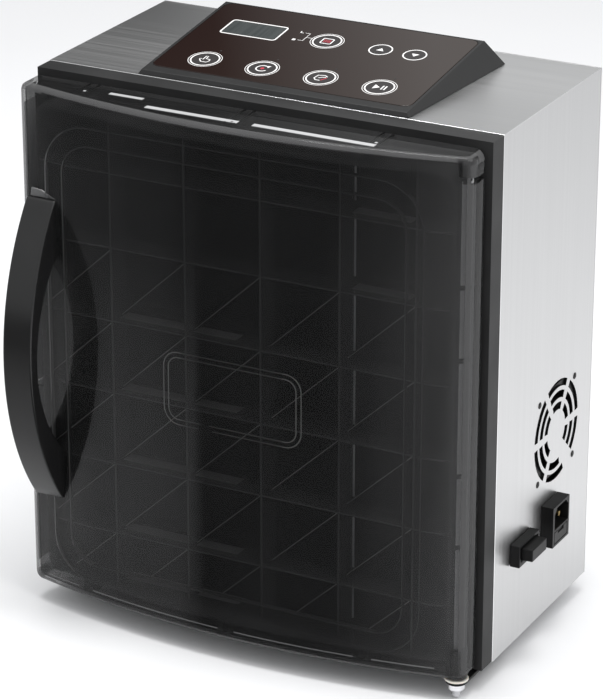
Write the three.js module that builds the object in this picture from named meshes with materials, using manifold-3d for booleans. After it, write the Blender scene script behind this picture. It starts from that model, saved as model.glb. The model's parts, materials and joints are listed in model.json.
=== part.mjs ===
// Upright chamber vacuum sealer: a steel cabinet with a side-hinged, ribbed vacuum door on the front,
// a sloping touch panel on top, and the pump, valves, power supply and fan behind the chamber.
//
// Cabinet frame, in millimetres: X runs across the front from the cabinet's left side, Y runs from the
// front edge of the steel casing towards the back, and Z runs up from the casing's underside. The whole
// model is shifted at the end, so that its origin is the middle of its box, on the floor under the feet.
import * as THREE from 'three';
import { mergeVertices } from 'three/addons/utils/BufferGeometryUtils.js';
import Module from 'manifold-3d';

const wasm = await Module();
wasm.setup();

// ---------------------------------------------------------------- driving dimensions

const CASE_W = 368;
const CASE_D = 170;
const CASE_H = 410;
const SHEET = 1.2;
const GAP = 0.3;
const FOOT_H = 16;
const FOOT_INSET = 33;
const FOOT_R = 11;

const BEZEL_FRONT = -17.7;
const BEZEL_WALL = 2.6;

const DOOR = { x0: -4, x1: 364, z0: 1, z1: 404, back: -18.2, peak: -62, crownX: 184, crownR: 735 };
const DOOR_WALL = 3;
const DOOR_CORNER_R = 11;
const DOOR_EDGE_R = 7;
const DOOR_COLUMNS = [74, 136, 198, 262, 322];
const DOOR_ROWS = 7;
const WAFFLE_FRONT = -42;
const BRACE_FRONT = -30;
const BRACE_SLOPE = 0.93;
const BRACED_ROWS = 5;

const HINGE = { x: 355, y: -34, pinR: 3, bushR: 5, barrelR: 8.5 };
const HINGE_PLATE_T = 2.2;
const UPPER_ARM = { half: 5.2, turn: 120, tailX: [338, 350] };
const UPPER_PLATE_Z = 386;
const LOWER_PLATE_Z = -3.1;

const CHAMBER = { x0: 24, x1: 306, z0: 30, z1: 372, front: -14, back: 95, cornerR: 36, wall: 1.5 };
const GASKET_W = 9;
const SEAL_Z = 325;
const PORT_AT = [CHAMBER.x1 - 50, 100];

const HANDLE = { x0: 5.2, x1: 29.8, z: 199, halfSpan: 115, foot: -50, rise: 36 };
const HANDLE_GRIP = { innerR: 110, innerApex: -76.4 };

const FAN = { y: 106.8, z: 145.4, size: 72, depth: 20, holePitch: 64, boreR: 33 };
const VENT_RINGS = [19, 28, 37];
const VENT_SLOT_W = 5.7;
const INLET = { y0: 82, y1: 112, z0: 60, z1: 93, out: 10.4, split: 73 };
const SWITCH = { y0: 26.5, y1: 62, z0: 67, z1: 84.5, out: 8.2, rockerOut: 16.4 };

const HEAD = { frontHalf: 109.5, backHalf: 118, topHalf: 107.5, front: 1.3, back: 145.7, crest: 131 };
const GLASS = { w: 210, d: 119, y: 70.5, t: 2, cornerR: 6 };
const GLASS_SLOPE = Math.atan(0.1317);
const GLASS_RISE = 3.3;

const PUMP = { y: 134, z: 62, motorR: 31, motorX: [70, 150], headX: [152, 216] };

const MID_X = CASE_W / 2;
const SIDE_IN = CASE_W - SHEET;

// ---------------------------------------------------------------- materials

const finish = (color, roughness, metalness = 0) =>
  new THREE.MeshStandardMaterial({ color, roughness, metalness });

const MATERIAL = {
  steel: finish(0xc9c9cb, 0.38, 0.9),
  chrome: finish(0xe4e4e6, 0.15, 1),
  darkPlastic: finish(0x3c3d3f, 0.5),
  blackPlastic: finish(0x1c1c1e, 0.45),
  smokeCover: finish(0x2b2c2e, 0.12),
  smokePanel: finish(0x3a3b3d, 0.2),
  panelGlass: finish(0x2a1e1d, 0.1),
  display: finish(0x5a5e5f, 0.3),
  silicone: finish(0xb8b8b4, 0.7),
  rubber: finish(0x202020, 0.8),
  aluminium: finish(0xb5b7ba, 0.45, 0.8),
  brass: finish(0xb08d4a, 0.35, 0.9),
  board: finish(0x1f5b35, 0.6),
  copper: finish(0x9a5a34, 0.45, 0.6),
  nylon: finish(0xe6e2d6, 0.5),
};

// ---------------------------------------------------------------- solid modelling helpers

const X = new THREE.Vector3(1, 0, 0);
const Y = new THREE.Vector3(0, 1, 0);
const Z = new THREE.Vector3(0, 0, 1);

function signedVolume(positions, index) {
  const [a, b, c] = [new THREE.Vector3(), new THREE.Vector3(), new THREE.Vector3()];
  let total = 0;
  for (let i = 0; i < index.length; i += 3) {
    a.fromArray(positions, index[i] * 3);
    b.fromArray(positions, index[i + 1] * 3);
    c.fromArray(positions, index[i + 2] * 3);
    total += a.dot(b.cross(c));
  }
  return total;
}

// A closed three.js geometry as a solid whose faces point out.
function solid(geometry) {
  geometry.deleteAttribute('normal');
  geometry.deleteAttribute('uv');
  const merged = mergeVertices(geometry, 1e-4);
  const positions = merged.attributes.position.array;
  const corners = merged.index.array;
  const kept = [];
  for (let i = 0; i < corners.length; i += 3) {
    const [a, b, c] = [corners[i], corners[i + 1], corners[i + 2]];
    if (a !== b && b !== c && c !== a) kept.push(a, b, c);
  }
  if (signedVolume(positions, kept) < 0) kept.reverse();
  const mesh = new wasm.Mesh({
    numProp: 3,
    vertProperties: new Float32Array(positions),
    triVerts: new Uint32Array(kept),
  });
  return new wasm.Manifold(mesh);
}

const join = (...bodies) => bodies.reduce((sum, body) => sum.add(body));
const cut = (body, ...tools) => tools.reduce((rest, tool) => rest.subtract(tool), body);

function box([x0, x1], [y0, y1], [z0, z1]) {
  const geometry = new THREE.BoxGeometry(x1 - x0, y1 - y0, z1 - z0);
  geometry.translate((x0 + x1) / 2, (y0 + y1) / 2, (z0 + z1) / 2);
  return solid(geometry);
}

// Turns a geometry drawn on XY and built along Z so that it is built along the named axis: a shape for x
// is drawn as (y, z), a shape for y as (x, z), and a shape for z as (x, y).
function along(axis, geometry, low, high) {
  if (axis === 'x') geometry.applyMatrix4(new THREE.Matrix4().makeBasis(Y, Z, X)).translate(low, 0, 0);
  if (axis === 'y') geometry.rotateX(Math.PI / 2).translate(0, high, 0);
  if (axis === 'z') geometry.translate(0, 0, low);
  return geometry;
}

function prism(axis, shape, low, high, curveSegments = 4) {
  const options = { depth: high - low, bevelEnabled: false, curveSegments };
  return solid(along(axis, new THREE.ExtrudeGeometry(shape, options), low, high));
}

function circle(u, v, r) {
  const shape = new THREE.Shape();
  shape.absarc(u, v, r, 0, 2 * Math.PI, false);
  return shape;
}

const rod = (axis, [u, v], r, low, high, sides = 20) => prism(axis, circle(u, v, r), low, high, sides / 2);

// A piece turned about an axis along x or z: its profile lists (radius, height along the axis) pairs.
function turned(axis, [u, v], profile, sides = 20) {
  const geometry = new THREE.LatheGeometry(profile.map(([r, h]) => new THREE.Vector2(r, h)), sides);
  if (axis === 'z') geometry.rotateX(Math.PI / 2).translate(u, v, 0);
  if (axis === 'x') geometry.rotateZ(-Math.PI / 2).translate(0, u, v);
  return solid(geometry);
}

function roundedRect(u0, u1, v0, v1, r) {
  const shape = new THREE.Shape();
  shape.absarc(u1 - r, v0 + r, r, -Math.PI / 2, 0, false);
  shape.absarc(u1 - r, v1 - r, r, 0, Math.PI / 2, false);
  shape.absarc(u0 + r, v1 - r, r, Math.PI / 2, Math.PI, false);
  shape.absarc(u0 + r, v0 + r, r, Math.PI, 1.5 * Math.PI, false);
  return shape;
}

function polygon(points) {
  return new THREE.Shape(points.map(([u, v]) => new THREE.Vector2(u, v)));
}

// A solid between two rings of equally many points, each ring convex and listed counter-clockwise.
function loft(lower, upper) {
  const n = lower.length;
  const index = [];
  for (let i = 0; i < n; i += 1) {
    const j = (i + 1) % n;
    index.push(i, j, n + j, i, n + j, n + i);
  }
  for (let i = 1; i < n - 1; i += 1) {
    index.push(0, i + 1, i, n, n + i, n + i + 1);
  }
  const geometry = new THREE.BufferGeometry();
  geometry.setAttribute('position', new THREE.Float32BufferAttribute([...lower, ...upper].flat(), 3));
  geometry.setIndex(index);
  return solid(geometry);
}

function tube(points, r, steps, sides = 8) {
  const path = new THREE.CatmullRomCurve3(points.map((p) => new THREE.Vector3(...p)));
  const options = { steps, extrudePath: path, curveSegments: sides / 2, bevelEnabled: false };
  return solid(new THREE.ExtrudeGeometry(circle(0, 0, r), options));
}

const machine = new THREE.Group();

function add(name, body, material) {
  const source = body.getMesh();
  const geometry = new THREE.BufferGeometry();
  geometry.setAttribute('position', new THREE.BufferAttribute(source.vertProperties, 3));
  geometry.setIndex(new THREE.BufferAttribute(source.triVerts, 1));
  geometry.computeVertexNormals();
  const mesh = new THREE.Mesh(geometry, material);
  mesh.name = name;
  machine.add(mesh);
}

// ---------------------------------------------------------------- casing

// One arc-shaped vent slot on a radius, between two angles in degrees.
function ventSlot(radius, from, to) {
  const [a, b] = [from, to].map(THREE.MathUtils.degToRad);
  const shape = new THREE.Shape();
  shape.absarc(FAN.y, FAN.z, radius + VENT_SLOT_W / 2, a, b, false);
  shape.absarc(FAN.y, FAN.z, radius - VENT_SLOT_W / 2, b, a, true);
  return prism('x', shape, SIDE_IN - 1, CASE_W + 1, 3);
}

// Six slots a ring, with one wide bar at the lower back, where the smallest ring has no slot.
function ventSlots() {
  const bars = [0, 58, 120, 180, 240];
  const slots = [];
  VENT_RINGS.forEach((radius, ring) => {
    const half = THREE.MathUtils.radToDeg(3 / radius);
    bars.slice(0, -1).forEach((bar, i) => slots.push(ventSlot(radius, bar + half, bars[i + 1] - half)));
    slots.push(ventSlot(radius, -43, -half));
    if (ring > 0) slots.push(ventSlot(radius, 240 + half, ring === 1 ? 284 : 292));
  });
  return join(...slots);
}

function fanHoles() {
  const half = FAN.holePitch / 2;
  return [-half, half].flatMap((dy) => [-half, half].map((dz) => [FAN.y + dy, FAN.z + dz]));
}

function casingWrap() {
  const flange = 13;
  const outer = box([0, CASE_W], [0, CASE_D], [0, CASE_H]);
  const inside = box([SHEET, SIDE_IN], [SHEET, CASE_D - SHEET], [-5, CASE_H - SHEET]);
  const window = box([flange, CASE_W - flange], [-5, CASE_D + 5], [-5, CASE_H - flange]);
  const side = [SIDE_IN - 1, CASE_W + 1];
  const inletCut = box(side, [INLET.y0 + 2.6, INLET.y1 - 2.6], [INLET.z0 + 2, INLET.z1 - 2]);
  const switchCut = box(side, [SWITCH.y0 + 2, SWITCH.y1 - 2], [SWITCH.z0 + 2, SWITCH.z1 - 2]);
  const screwHoles = fanHoles().map((at) => rod('x', at, 2.3, ...side, 12));
  const cableHole = rod('z', [MID_X, 112], 12, CASE_H - 5, CASE_H + 1, 16);
  return cut(outer, inside, window, inletCut, switchCut, ventSlots(), cableHole, ...screwHoles);
}

function basePanel() {
  const [x0, x1] = [SHEET + GAP, SIDE_IN - GAP];
  const sheet = box([x0, x1], [SHEET + GAP, CASE_D - SHEET - GAP], [0, 1.5]);
  const sides = [x0, x1 - 1.5].map((x) => box([x, x + 1.5], [16, CASE_D - 16], [0, 12]));
  return join(sheet, ...sides);
}

// Rear sheet with a block of cooling slots near the top and near the bottom.
function backPanel() {
  const sheet = box([0, CASE_W], [CASE_D + GAP, CASE_D + GAP + SHEET], [0, CASE_H]);
  const slots = [];
  for (const z0 of [52, 320]) {
    for (let column = 0; column < 9; column += 1) {
      const x = 104 + column * 20;
      slots.push(prism('y', roundedRect(x - 2.5, x + 2.5, z0, z0 + 40, 2.4), CASE_D - 1, CASE_D + 3, 2));
    }
  }
  return cut(sheet, ...slots);
}

const FOOT_PROFILE = [
  [0, -FOOT_H], [FOOT_R - 2, -FOOT_H], [FOOT_R, -FOOT_H + 3], [FOOT_R - 1, -GAP], [0, -GAP],
];

function chamberOutline(grow) {
  const c = CHAMBER;
  return roundedRect(c.x0 - grow, c.x1 + grow, c.z0 - grow, c.z1 + grow, c.cornerR + grow);
}

// Moulded frame round the chamber mouth, hollow from behind.
function frontBezel() {
  const back = -GAP;
  const rim = GASKET_W + 0.6;
  const outer = box([0.3, CASE_W - 0.3], [BEZEL_FRONT, back], [1, CASE_H - GAP]);
  const opening = prism('y', chamberOutline(rim), BEZEL_FRONT - 5, back + 5);
  const wall = BEZEL_WALL;
  const hollow = box([wall, CASE_W - wall], [BEZEL_FRONT + wall, back + 1], [1 + wall, CASE_H - wall]);
  const innerWall = prism('y', chamberOutline(rim + wall), BEZEL_FRONT - 5, back + 5);
  const hingeSlot = box(
    [UPPER_ARM.tailX[0] - 0.6, UPPER_ARM.tailX[1] + 0.6],
    [BEZEL_FRONT - 1, BEZEL_FRONT + wall + 1],
    [UPPER_PLATE_Z - 0.5, UPPER_PLATE_Z + HINGE_PLATE_T + 0.5],
  );
  const switchHole = rod('y', [340, 60], 2.6, BEZEL_FRONT - 1, BEZEL_FRONT + wall + 1, 12);
  return cut(outer, opening, hollow.subtract(innerWall), hingeSlot, switchHole);
}

// ---------------------------------------------------------------- chamber and seal bar

// Drawn steel tub, open to the front, with a flange that carries the gasket.
function chamberTub() {
  const c = CHAMBER;
  const shell = prism('y', chamberOutline(0), c.front, c.back);
  const flange = prism('y', chamberOutline(GASKET_W + GAP), -9.5, -8);
  const inside = prism('y', chamberOutline(-c.wall), c.front - 5, c.back - c.wall);
  const port = rod('y', PORT_AT, 4, c.back - 5, c.back + 5, 12);
  return cut(join(shell, flange), inside, port);
}

function chamberGasket() {
  const outer = prism('y', chamberOutline(GASKET_W), BEZEL_FRONT - 0.2, -9.8);
  const lipGroove = prism('y', chamberOutline(GASKET_W - 3), BEZEL_FRONT - 1, BEZEL_FRONT + 1.5);
  const lip = prism('y', chamberOutline(3), BEZEL_FRONT - 2, BEZEL_FRONT + 2);
  const inner = prism('y', chamberOutline(GAP), BEZEL_FRONT - 5, -5);
  return cut(outer, inner, lipGroove.subtract(lip));
}

const SEAL_RODS_X = [85, 245];

function sealCylinder(x) {
  const body = rod('y', [x, SEAL_Z], 11, 44, CHAMBER.back - CHAMBER.wall - GAP, 20);
  const bore = rod('y', [x, SEAL_Z], 4.3, 40, 80, 16);
  return cut(body, bore);
}

function sealBar() {
  const bar = box([46, 284], [-2.8, 14], [SEAL_Z - 7, SEAL_Z + 7]);
  const tapeGroove = box([50, 280], [-4, -1.6], [SEAL_Z - 3.3, SEAL_Z + 3.3]);
  return cut(bar, tapeGroove);
}

// ---------------------------------------------------------------- door

// The door's outline in plan, inset all round. The front bows outwards on one large radius, and the back
// corner on the hinge side is chamfered, so that it clears the bezel as the door turns.
function doorPlan(inset, back) {
  const { x0, x1, peak, crownX, crownR } = DOOR;
  const [left, right] = [x0 + inset, x1 - inset];
  const radius = crownR - inset;
  const centreY = peak + crownR;
  const edge = Math.max(DOOR_EDGE_R - inset, 2);
  const frontAt = (x) => centreY - Math.sqrt(radius ** 2 - (x - crownX) ** 2);
  const angleAt = (x) => Math.atan2(frontAt(x) - centreY, x - crownX);
  const shape = new THREE.Shape();
  shape.moveTo(left, back);
  shape.lineTo(left, frontAt(left) + edge);
  shape.quadraticCurveTo(left, frontAt(left), left + edge, frontAt(left + edge));
  shape.absarc(crownX, centreY, radius, angleAt(left + edge), angleAt(right - edge), false);
  shape.quadraticCurveTo(right, frontAt(right), right, frontAt(right) + edge);
  shape.lineTo(right, back - 4.4);
  shape.lineTo(right - 8, back);
  return shape;
}

function doorBody(inset, back) {
  const { x0, x1, z0, z1 } = DOOR;
  const corner = Math.max(DOOR_CORNER_R - inset, 3);
  const plan = prism('z', doorPlan(inset, back), z0 + inset, z1 - inset, 6);
  const front = roundedRect(x0 + inset, x1 - inset, z0 + inset, z1 - inset, corner);
  return plan.intersect(prism('y', front, DOOR.peak - 5, back + 5, 3));
}

const UPPER_BARREL_Z = [UPPER_PLATE_Z + HINGE_PLATE_T + 1.2, DOOR.z1 - 1];
const LOWER_BARREL_Z = [DOOR.z0, 26];

function hingeBarrel([low, high], grow = 0) {
  return rod('z', [HINGE.x, HINGE.y], HINGE.barrelR + grow, low - grow, high + grow, 20);
}

// Room that the fixed upper hinge arm needs inside the corner of the turning door.
function hingeNotch() {
  const { half, tailX } = UPPER_ARM;
  const [x0, y0] = [tailX[0] - 2, HINGE.y - half - 0.5];
  return box([x0, DOOR.x1 + 5], [y0, 0], [UPPER_PLATE_Z - 1.2, UPPER_BARREL_Z[0]]);
}

// Smoked cover of the door: a bowed tray, open at the back, with a hinge barrel in each right corner.
function doorCover() {
  const axis = [HINGE.x, HINGE.y];
  const outer = doorBody(0, DOOR.back);
  const shell = cut(outer, doorBody(DOOR_WALL, DOOR.back + 10));
  const barrels = join(hingeBarrel(UPPER_BARREL_Z), hingeBarrel(LOWER_BARREL_Z)).intersect(outer);
  const lowerBore = rod('z', axis, HINGE.bushR + GAP, DOOR.z0 - 5, 21.3, 16);
  const upperBore = rod('z', axis, HINGE.bushR + GAP, UPPER_BARREL_Z[0] - 5, DOOR.z1 - 3, 16);
  return cut(join(shell, barrels), lowerBore, upperBore, hingeNotch());
}

const PLATE_FRONT = DOOR.back - 2.8;
const TO_CROWN = [DOOR.peak, PLATE_FRONT + 0.5];

// Upright and level ribs, with a low brace that runs up to the right across each cell of the lower rows.
function panelWaffle() {
  const { x0, x1, z0, z1 } = DOOR;
  const pitch = (z1 - z0) / DOOR_ROWS;
  const deep = [WAFFLE_FRONT, PLATE_FRONT + 0.5];
  const ribs = DOOR_COLUMNS.map((x) => box([x - 1, x + 1], deep, [z0, z1]));
  for (let row = 1; row < DOOR_ROWS; row += 1) {
    const z = z0 + row * pitch;
    ribs.push(box([x0, x1], deep, [z - 1, z + 1]));
  }
  const posts = [x0 + 13, ...DOOR_COLUMNS];
  for (let row = 1; row <= BRACED_ROWS; row += 1) {
    const top = z0 + row * pitch;
    for (let i = 1; i < posts.length; i += 1) {
      const [left, right] = [posts[i - 1], posts[i]];
      const low = top - (right - left) * BRACE_SLOPE;
      const brace = polygon([[left, low - 0.8], [right, top - 0.8], [right, top + 0.8], [left, low + 0.8]]);
      ribs.push(prism('y', brace, BRACE_FRONT, PLATE_FRONT + 0.5));
    }
  }
  return join(...ribs);
}

// The waffle, inside a wall that follows the cover's outline from the plate to the bowed front.
function ringedWaffle() {
  const { x0, x1, z0, z1 } = DOOR;
  const outline = (inset, r) => roundedRect(x0 + inset, x1 - inset, z0 + inset, z1 - inset, r);
  const outer = prism('y', outline(13, 14), ...TO_CROWN, 3);
  const hole = prism('y', outline(15.4, 12), DOOR.peak - 1, PLATE_FRONT + 1, 3);
  return join(cut(outer, hole), panelWaffle().intersect(outer));
}

// Short ribs from the ring to the cover's rim: pairs at the top and bottom, single ones at the sides.
function panelGussets() {
  const { x0, x1, z0, z1 } = DOOR;
  const gussets = [];
  for (const x of [50, 178, 288]) {
    for (const z of [[z0, z0 + 14], [z1 - 14, z1]]) {
      gussets.push(box([x - 5, x - 3.4], TO_CROWN, z), box([x + 3.4, x + 5], TO_CROWN, z));
    }
  }
  for (const z of [107, 163, 252, 307]) {
    for (const x of [[x0, x0 + 14], [x1 - 14, x1]]) gussets.push(box(x, TO_CROWN, [z - 0.8, z + 0.8]));
  }
  return join(...gussets);
}

// Clear inner panel: a back plate with its ribs, clear of the hinge.
function doorPanel() {
  const { x0, x1, z0, z1, back } = DOOR;
  const inside = doorBody(DOOR_WALL + GAP, back);
  const plate = box([x0, x1], [PLATE_FRONT, back], [z0, z1]).intersect(inside);
  const ribs = join(ringedWaffle(), panelGussets()).intersect(doorBody(DOOR_WALL + 1, back + 1));
  const keepClear = [hingeBarrel(UPPER_BARREL_Z, 0.6), hingeBarrel(LOWER_BARREL_Z, 0.6), hingeNotch()];
  return cut(join(plate, ribs), ...keepClear, upperPinRoom());
}

// Space round the head of the upper hinge pin, under its plate.
function upperPinRoom() {
  return rod('z', [HINGE.x, HINGE.y], 8.8, UPPER_PLATE_Z - 8, UPPER_PLATE_Z, 16);
}

function counterStrip() {
  return box([46, 284], [DOOR.back + GAP, DOOR.back + 5], [SEAL_Z - 6, SEAL_Z + 6]);
}

// Bow handle: two feet on the door with a curved grip between them.
function handleBow() {
  const { x0, x1, z, halfSpan, foot: footY, rise } = HANDLE;
  const { innerR, innerApex } = HANDLE_GRIP;
  const outerR = (halfSpan ** 2 + rise ** 2) / (2 * rise);
  const outerY = footY - rise + outerR;
  const outerHalf = Math.asin(halfSpan / outerR);
  const innerY = innerApex + innerR;
  const innerDepth = -38;
  const innerHalf = Math.acos((innerY - innerDepth) / innerR);
  const shape = new THREE.Shape();
  shape.moveTo(-34, z + halfSpan + 5);
  shape.lineTo(footY + 4, z + halfSpan + 5);
  shape.absarc(outerY, z, outerR, Math.PI - outerHalf, Math.PI + outerHalf, false);
  shape.lineTo(footY + 4, z - halfSpan - 5);
  shape.lineTo(-34, z - halfSpan - 5);
  shape.absarc(innerY, z, innerR, Math.PI + innerHalf, Math.PI - innerHalf, true);
  const bevel = 2;
  const geometry = new THREE.ExtrudeGeometry(shape, {
    depth: x1 - x0 - 2 * bevel,
    bevelEnabled: true,
    bevelSize: bevel,
    bevelThickness: bevel,
    bevelOffset: -bevel,
    bevelSegments: 2,
    curveSegments: 9,
  });
  const bow = solid(along('x', geometry, x0 + bevel, x1 - bevel));
  return cut(bow, doorBody(-GAP, DOOR.back + 20));
}

function doorBush([low, high]) {
  return turned('z', [HINGE.x, HINGE.y], [
    [HINGE.pinR + GAP, low], [HINGE.bushR, low], [HINGE.bushR, high], [HINGE.pinR + GAP, high],
    [HINGE.pinR + GAP, low],
  ]);
}

// ---------------------------------------------------------------- hinge

function hingePlate(shape, z) {
  const hole = rod('z', [HINGE.x, HINGE.y], HINGE.pinR + GAP, z - 1, z + HINGE_PLATE_T + 1, 16);
  return cut(prism('z', shape, z, z + HINGE_PLATE_T, 6), hole);
}

// Straight plate under the door: a round nose on the hinge axis and a tail under the casing.
function lowerPlateShape() {
  const [half, tail] = [8, 40];
  const shape = new THREE.Shape();
  shape.moveTo(HINGE.x + half, tail);
  shape.lineTo(HINGE.x - half, tail);
  shape.absarc(HINGE.x, HINGE.y, half, Math.PI, 2 * Math.PI, false);
  return shape;
}

// Cranked arm in the door's top corner. It slants away from the door's edge, so that the door can swing
// past a right angle round it, and its tail is fixed inside the bezel.
function upperArmShape() {
  const { half, turn, tailX } = UPPER_ARM;
  const [from, to] = [turn + 90, turn + 270].map(THREE.MathUtils.degToRad);
  const shape = new THREE.Shape();
  shape.absarc(HINGE.x, HINGE.y, half, from, to, false);
  shape.lineTo(tailX[1], BEZEL_FRONT - 0.4);
  shape.lineTo(tailX[1], -1);
  shape.lineTo(tailX[0], -1);
  shape.lineTo(tailX[0], BEZEL_FRONT);
  return shape;
}

// Pin of the lower hinge, with a stepped, tapered boss under its plate.
function lowerHingePin() {
  const [r, under] = [HINGE.pinR, LOWER_PLATE_Z - GAP];
  const boss = [[0, -14.4], [2.6, -14.4], [3.4, -13.2], [3.9, -10.4], [6.6, -7.6], [6.6, under]];
  return turned('z', [HINGE.x, HINGE.y], [...boss, [r, under], [r, 18], [0, 18]]);
}

function upperHingePin() {
  const [r, under, top] = [HINGE.pinR, UPPER_PLATE_Z - GAP, 399];
  const head = [[0, under - 2], [4.6, under - 2], [4.6, under]];
  return turned('z', [HINGE.x, HINGE.y], [...head, [r, under], [r, top], [0, top]], 16);
}

function hingeWasher() {
  const [inner, outer, low, high] = [3.4, 9, -0.6, 0.7];
  const profile = [[inner, low], [outer, low], [outer, high], [inner, high], [inner, low]];
  return turned('z', [HINGE.x, HINGE.y], profile);
}

// ---------------------------------------------------------------- control head

// The head's outer skin, or its hollow when inset: a wedge that grows wider and taller to the back.
function headWedge(inset, topInset) {
  const { frontHalf, backHalf, topHalf, front, back, crest } = HEAD;
  const base = CASE_H + GAP - (inset > 0 ? 5 : 0);
  const topAt = (y) => CASE_H + GLASS_RISE + Math.tan(GLASS_SLOPE) * y - topInset;
  const i = inset;
  const lower = [
    [MID_X - frontHalf + i, front + i, base], [MID_X + frontHalf - i, front + i, base],
    [MID_X + backHalf - i, back - i, base], [MID_X - backHalf + i, back - i, base],
  ];
  const [left, right, lip] = [MID_X - topHalf + i, MID_X + topHalf - i, front + i + 1.6];
  const upper = [
    [left, lip, topAt(front)], [right, lip, topAt(front)],
    [right, crest - i, topAt(crest)], [left, crest - i, topAt(crest)],
  ];
  return loft(lower, upper);
}

// A flat piece laid in the plane of the glass: u across, v up the slope from the glass's middle, and its
// top face a given distance below the glass's top.
function onSlope(shape, below, thickness, curveSegments = 3) {
  const geometry = new THREE.ExtrudeGeometry(shape, { depth: thickness, bevelEnabled: false, curveSegments });
  geometry.translate(0, 0, -below - thickness);
  geometry.rotateX(GLASS_SLOPE);
  const height = CASE_H + GLASS_RISE + Math.tan(GLASS_SLOPE) * GLASS.y;
  geometry.translate(MID_X, GLASS.y, height);
  return solid(geometry);
}

function glassOutline(grow) {
  const [u, v] = [GLASS.w / 2 + grow, GLASS.d / 2 + grow];
  return roundedRect(-u, u, -v, v, GLASS.cornerR + grow);
}

const DISPLAY = { u0: -85, u1: -39, v0: 9, v1: 33 };

function headHousing() {
  const pocket = onSlope(glassOutline(0.4), -3, 3 + GLASS.t + 0.4);
  const { u0, u1, v0, v1 } = DISPLAY;
  const window = onSlope(roundedRect(u0 - 1, u1 + 1, v0 - 1, v1 + 1, 1), 0, 12);
  return cut(headWedge(0, 0), headWedge(2.6, 4.8), pocket, window);
}

function controlBoard() {
  const board = onSlope(roundedRect(-92, 92, 5, 50, 2), 9.2, 1.6);
  const chip = (u, v) => polygon([[u, v], [u + 12, v], [u + 12, v + 9], [u, v + 9]]);
  const chips = [[-20, 10], [6, 20], [40, 16]].map(([u, v]) => onSlope(chip(u, v), 8, 1.3));
  return join(board, ...chips);
}

// ---------------------------------------------------------------- machine bay

function powerBoard() {
  const board = box([60, 190], [101, 102.6], [190, 300]);
  const parts = [
    box([70, 96], [102.4, 126], [200, 222]), box([104, 120], [102.4, 122], [204, 232]),
    box([130, 150], [102.4, 118], [200, 214]), box([70, 110], [102.4, 112], [250, 286]),
    rod('y', [140, 250], 9, 102.4, 130, 14), rod('y', [166, 226], 7, 102.4, 124, 14),
  ];
  const posts = [[65, 195], [185, 195], [65, 295], [185, 295]].map((at) => rod('y', at, 3, 95.6, 101.2, 10));
  return join(board, ...parts, ...posts);
}

function transformer() {
  const core = box([228, 296], [112, 158], [5, 62]);
  const coil = box([238, 286], [104, 164], [17, 50]);
  const foot = box([218, 306], [118, 152], [1.9, 5.2]);
  return join(core, coil, foot);
}

function pumpBracket() {
  const plate = box([66, 212], [106, 162], [1.9, 4.4]);
  const saddles = [78, 132].map((x) => box([x, x + 10], [112, 156], [4, PUMP.z - 22]));
  return cut(join(plate, ...saddles), rod('x', [PUMP.y, PUMP.z], PUMP.motorR + GAP, 60, 151, 24));
}

function pumpMotor() {
  const at = [PUMP.y, PUMP.z];
  const [x0, x1] = PUMP.motorX;
  const can = rod('x', at, PUMP.motorR, x0, x1, 28);
  const shaftRoom = rod('x', at, 3.4, x0 - 1, x0 + 12, 12);
  return cut(can, shaftRoom);
}

// Twin-cylinder head of the diaphragm pump: crankcase, two finned cylinders and a bridge with two spigots.
function pumpHead() {
  const [x0, x1] = PUMP.headX;
  const crankcase = box([x0, x1], [PUMP.y - 26, PUMP.y + 26], [PUMP.z - 28, PUMP.z + 18]);
  const fins = [];
  for (const x of [x0 + 15, x1 - 15]) {
    fins.push(rod('z', [x, PUMP.y], 10, PUMP.z + 17, PUMP.z + 38, 16));
    for (const z of [20, 26, 32]) fins.push(rod('z', [x, PUMP.y], 13.5, PUMP.z + z, PUMP.z + z + 2, 16));
  }
  const bridge = box([x0 + 2, x1 - 2], [PUMP.y - 12, PUMP.y + 12], [PUMP.z + 37, PUMP.z + 47]);
  const spigots = [x0 + 15, x1 - 15].map((x) => rod('z', [x, PUMP.y], 3.5, PUMP.z + 46, PUMP.z + 60, 12));
  const feet = box([x0 + 4, x1 - 8], [PUMP.y - 22, PUMP.y + 22], [4.7, PUMP.z - 27]);
  return join(crankcase, ...fins, bridge, ...spigots, feet);
}

// Impeller on the tail of the motor shaft.
function pumpFan() {
  const at = [PUMP.y, PUMP.z];
  const x0 = PUMP.motorX[0];
  const shaft = rod('x', at, 3, x0 - 14, x0 + 10, 12);
  const hub = rod('x', at, 7, x0 - 14, x0 - 2.5, 16);
  const blades = bladeRing(6, 24, 7, 1.4, x0 - 12.5, x0 - 3.5);
  return join(shaft, hub, blades.translate([0, PUMP.y, PUMP.z]));
}

// Flat blades on spokes round the X axis, each from an inner to an outer radius.
function bladeRing(inner, outer, count, thick, x0, x1, twist = 25) {
  const blades = [];
  for (let i = 0; i < count; i += 1) {
    const geometry = new THREE.BoxGeometry(x1 - x0, thick, outer - inner);
    geometry.rotateZ(THREE.MathUtils.degToRad(twist));
    geometry.translate((x0 + x1) / 2, 0, (outer + inner) / 2);
    geometry.rotateX((2 * Math.PI * i) / count);
    blades.push(solid(geometry));
  }
  return join(...blades);
}

function solenoidValve(x) {
  const block = box([x, x + 26], [104, 130], [172, 190]);
  const coil = box([x + 2, x + 24], [106, 128], [189, 216]);
  const core = rod('z', [x + 13, 117], 5, 215, 224, 12);
  const spigot = rod('z', [x + 13, 117], 3.5, 158, 173, 12);
  return join(block, coil, core, spigot);
}

function chamberPort() {
  const at = PORT_AT;
  const flange = rod('y', at, 9, CHAMBER.back + GAP, CHAMBER.back + 5, 16);
  const stem = rod('y', at, 3.5, CHAMBER.back - 8, CHAMBER.back + 5, 12);
  const bore = rod('y', at, 1.8, CHAMBER.back - 10, CHAMBER.back + 6, 10);
  return cut(join(flange, stem), bore);
}

// ---------------------------------------------------------------- right-hand side: fan, inlet, switch

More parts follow.
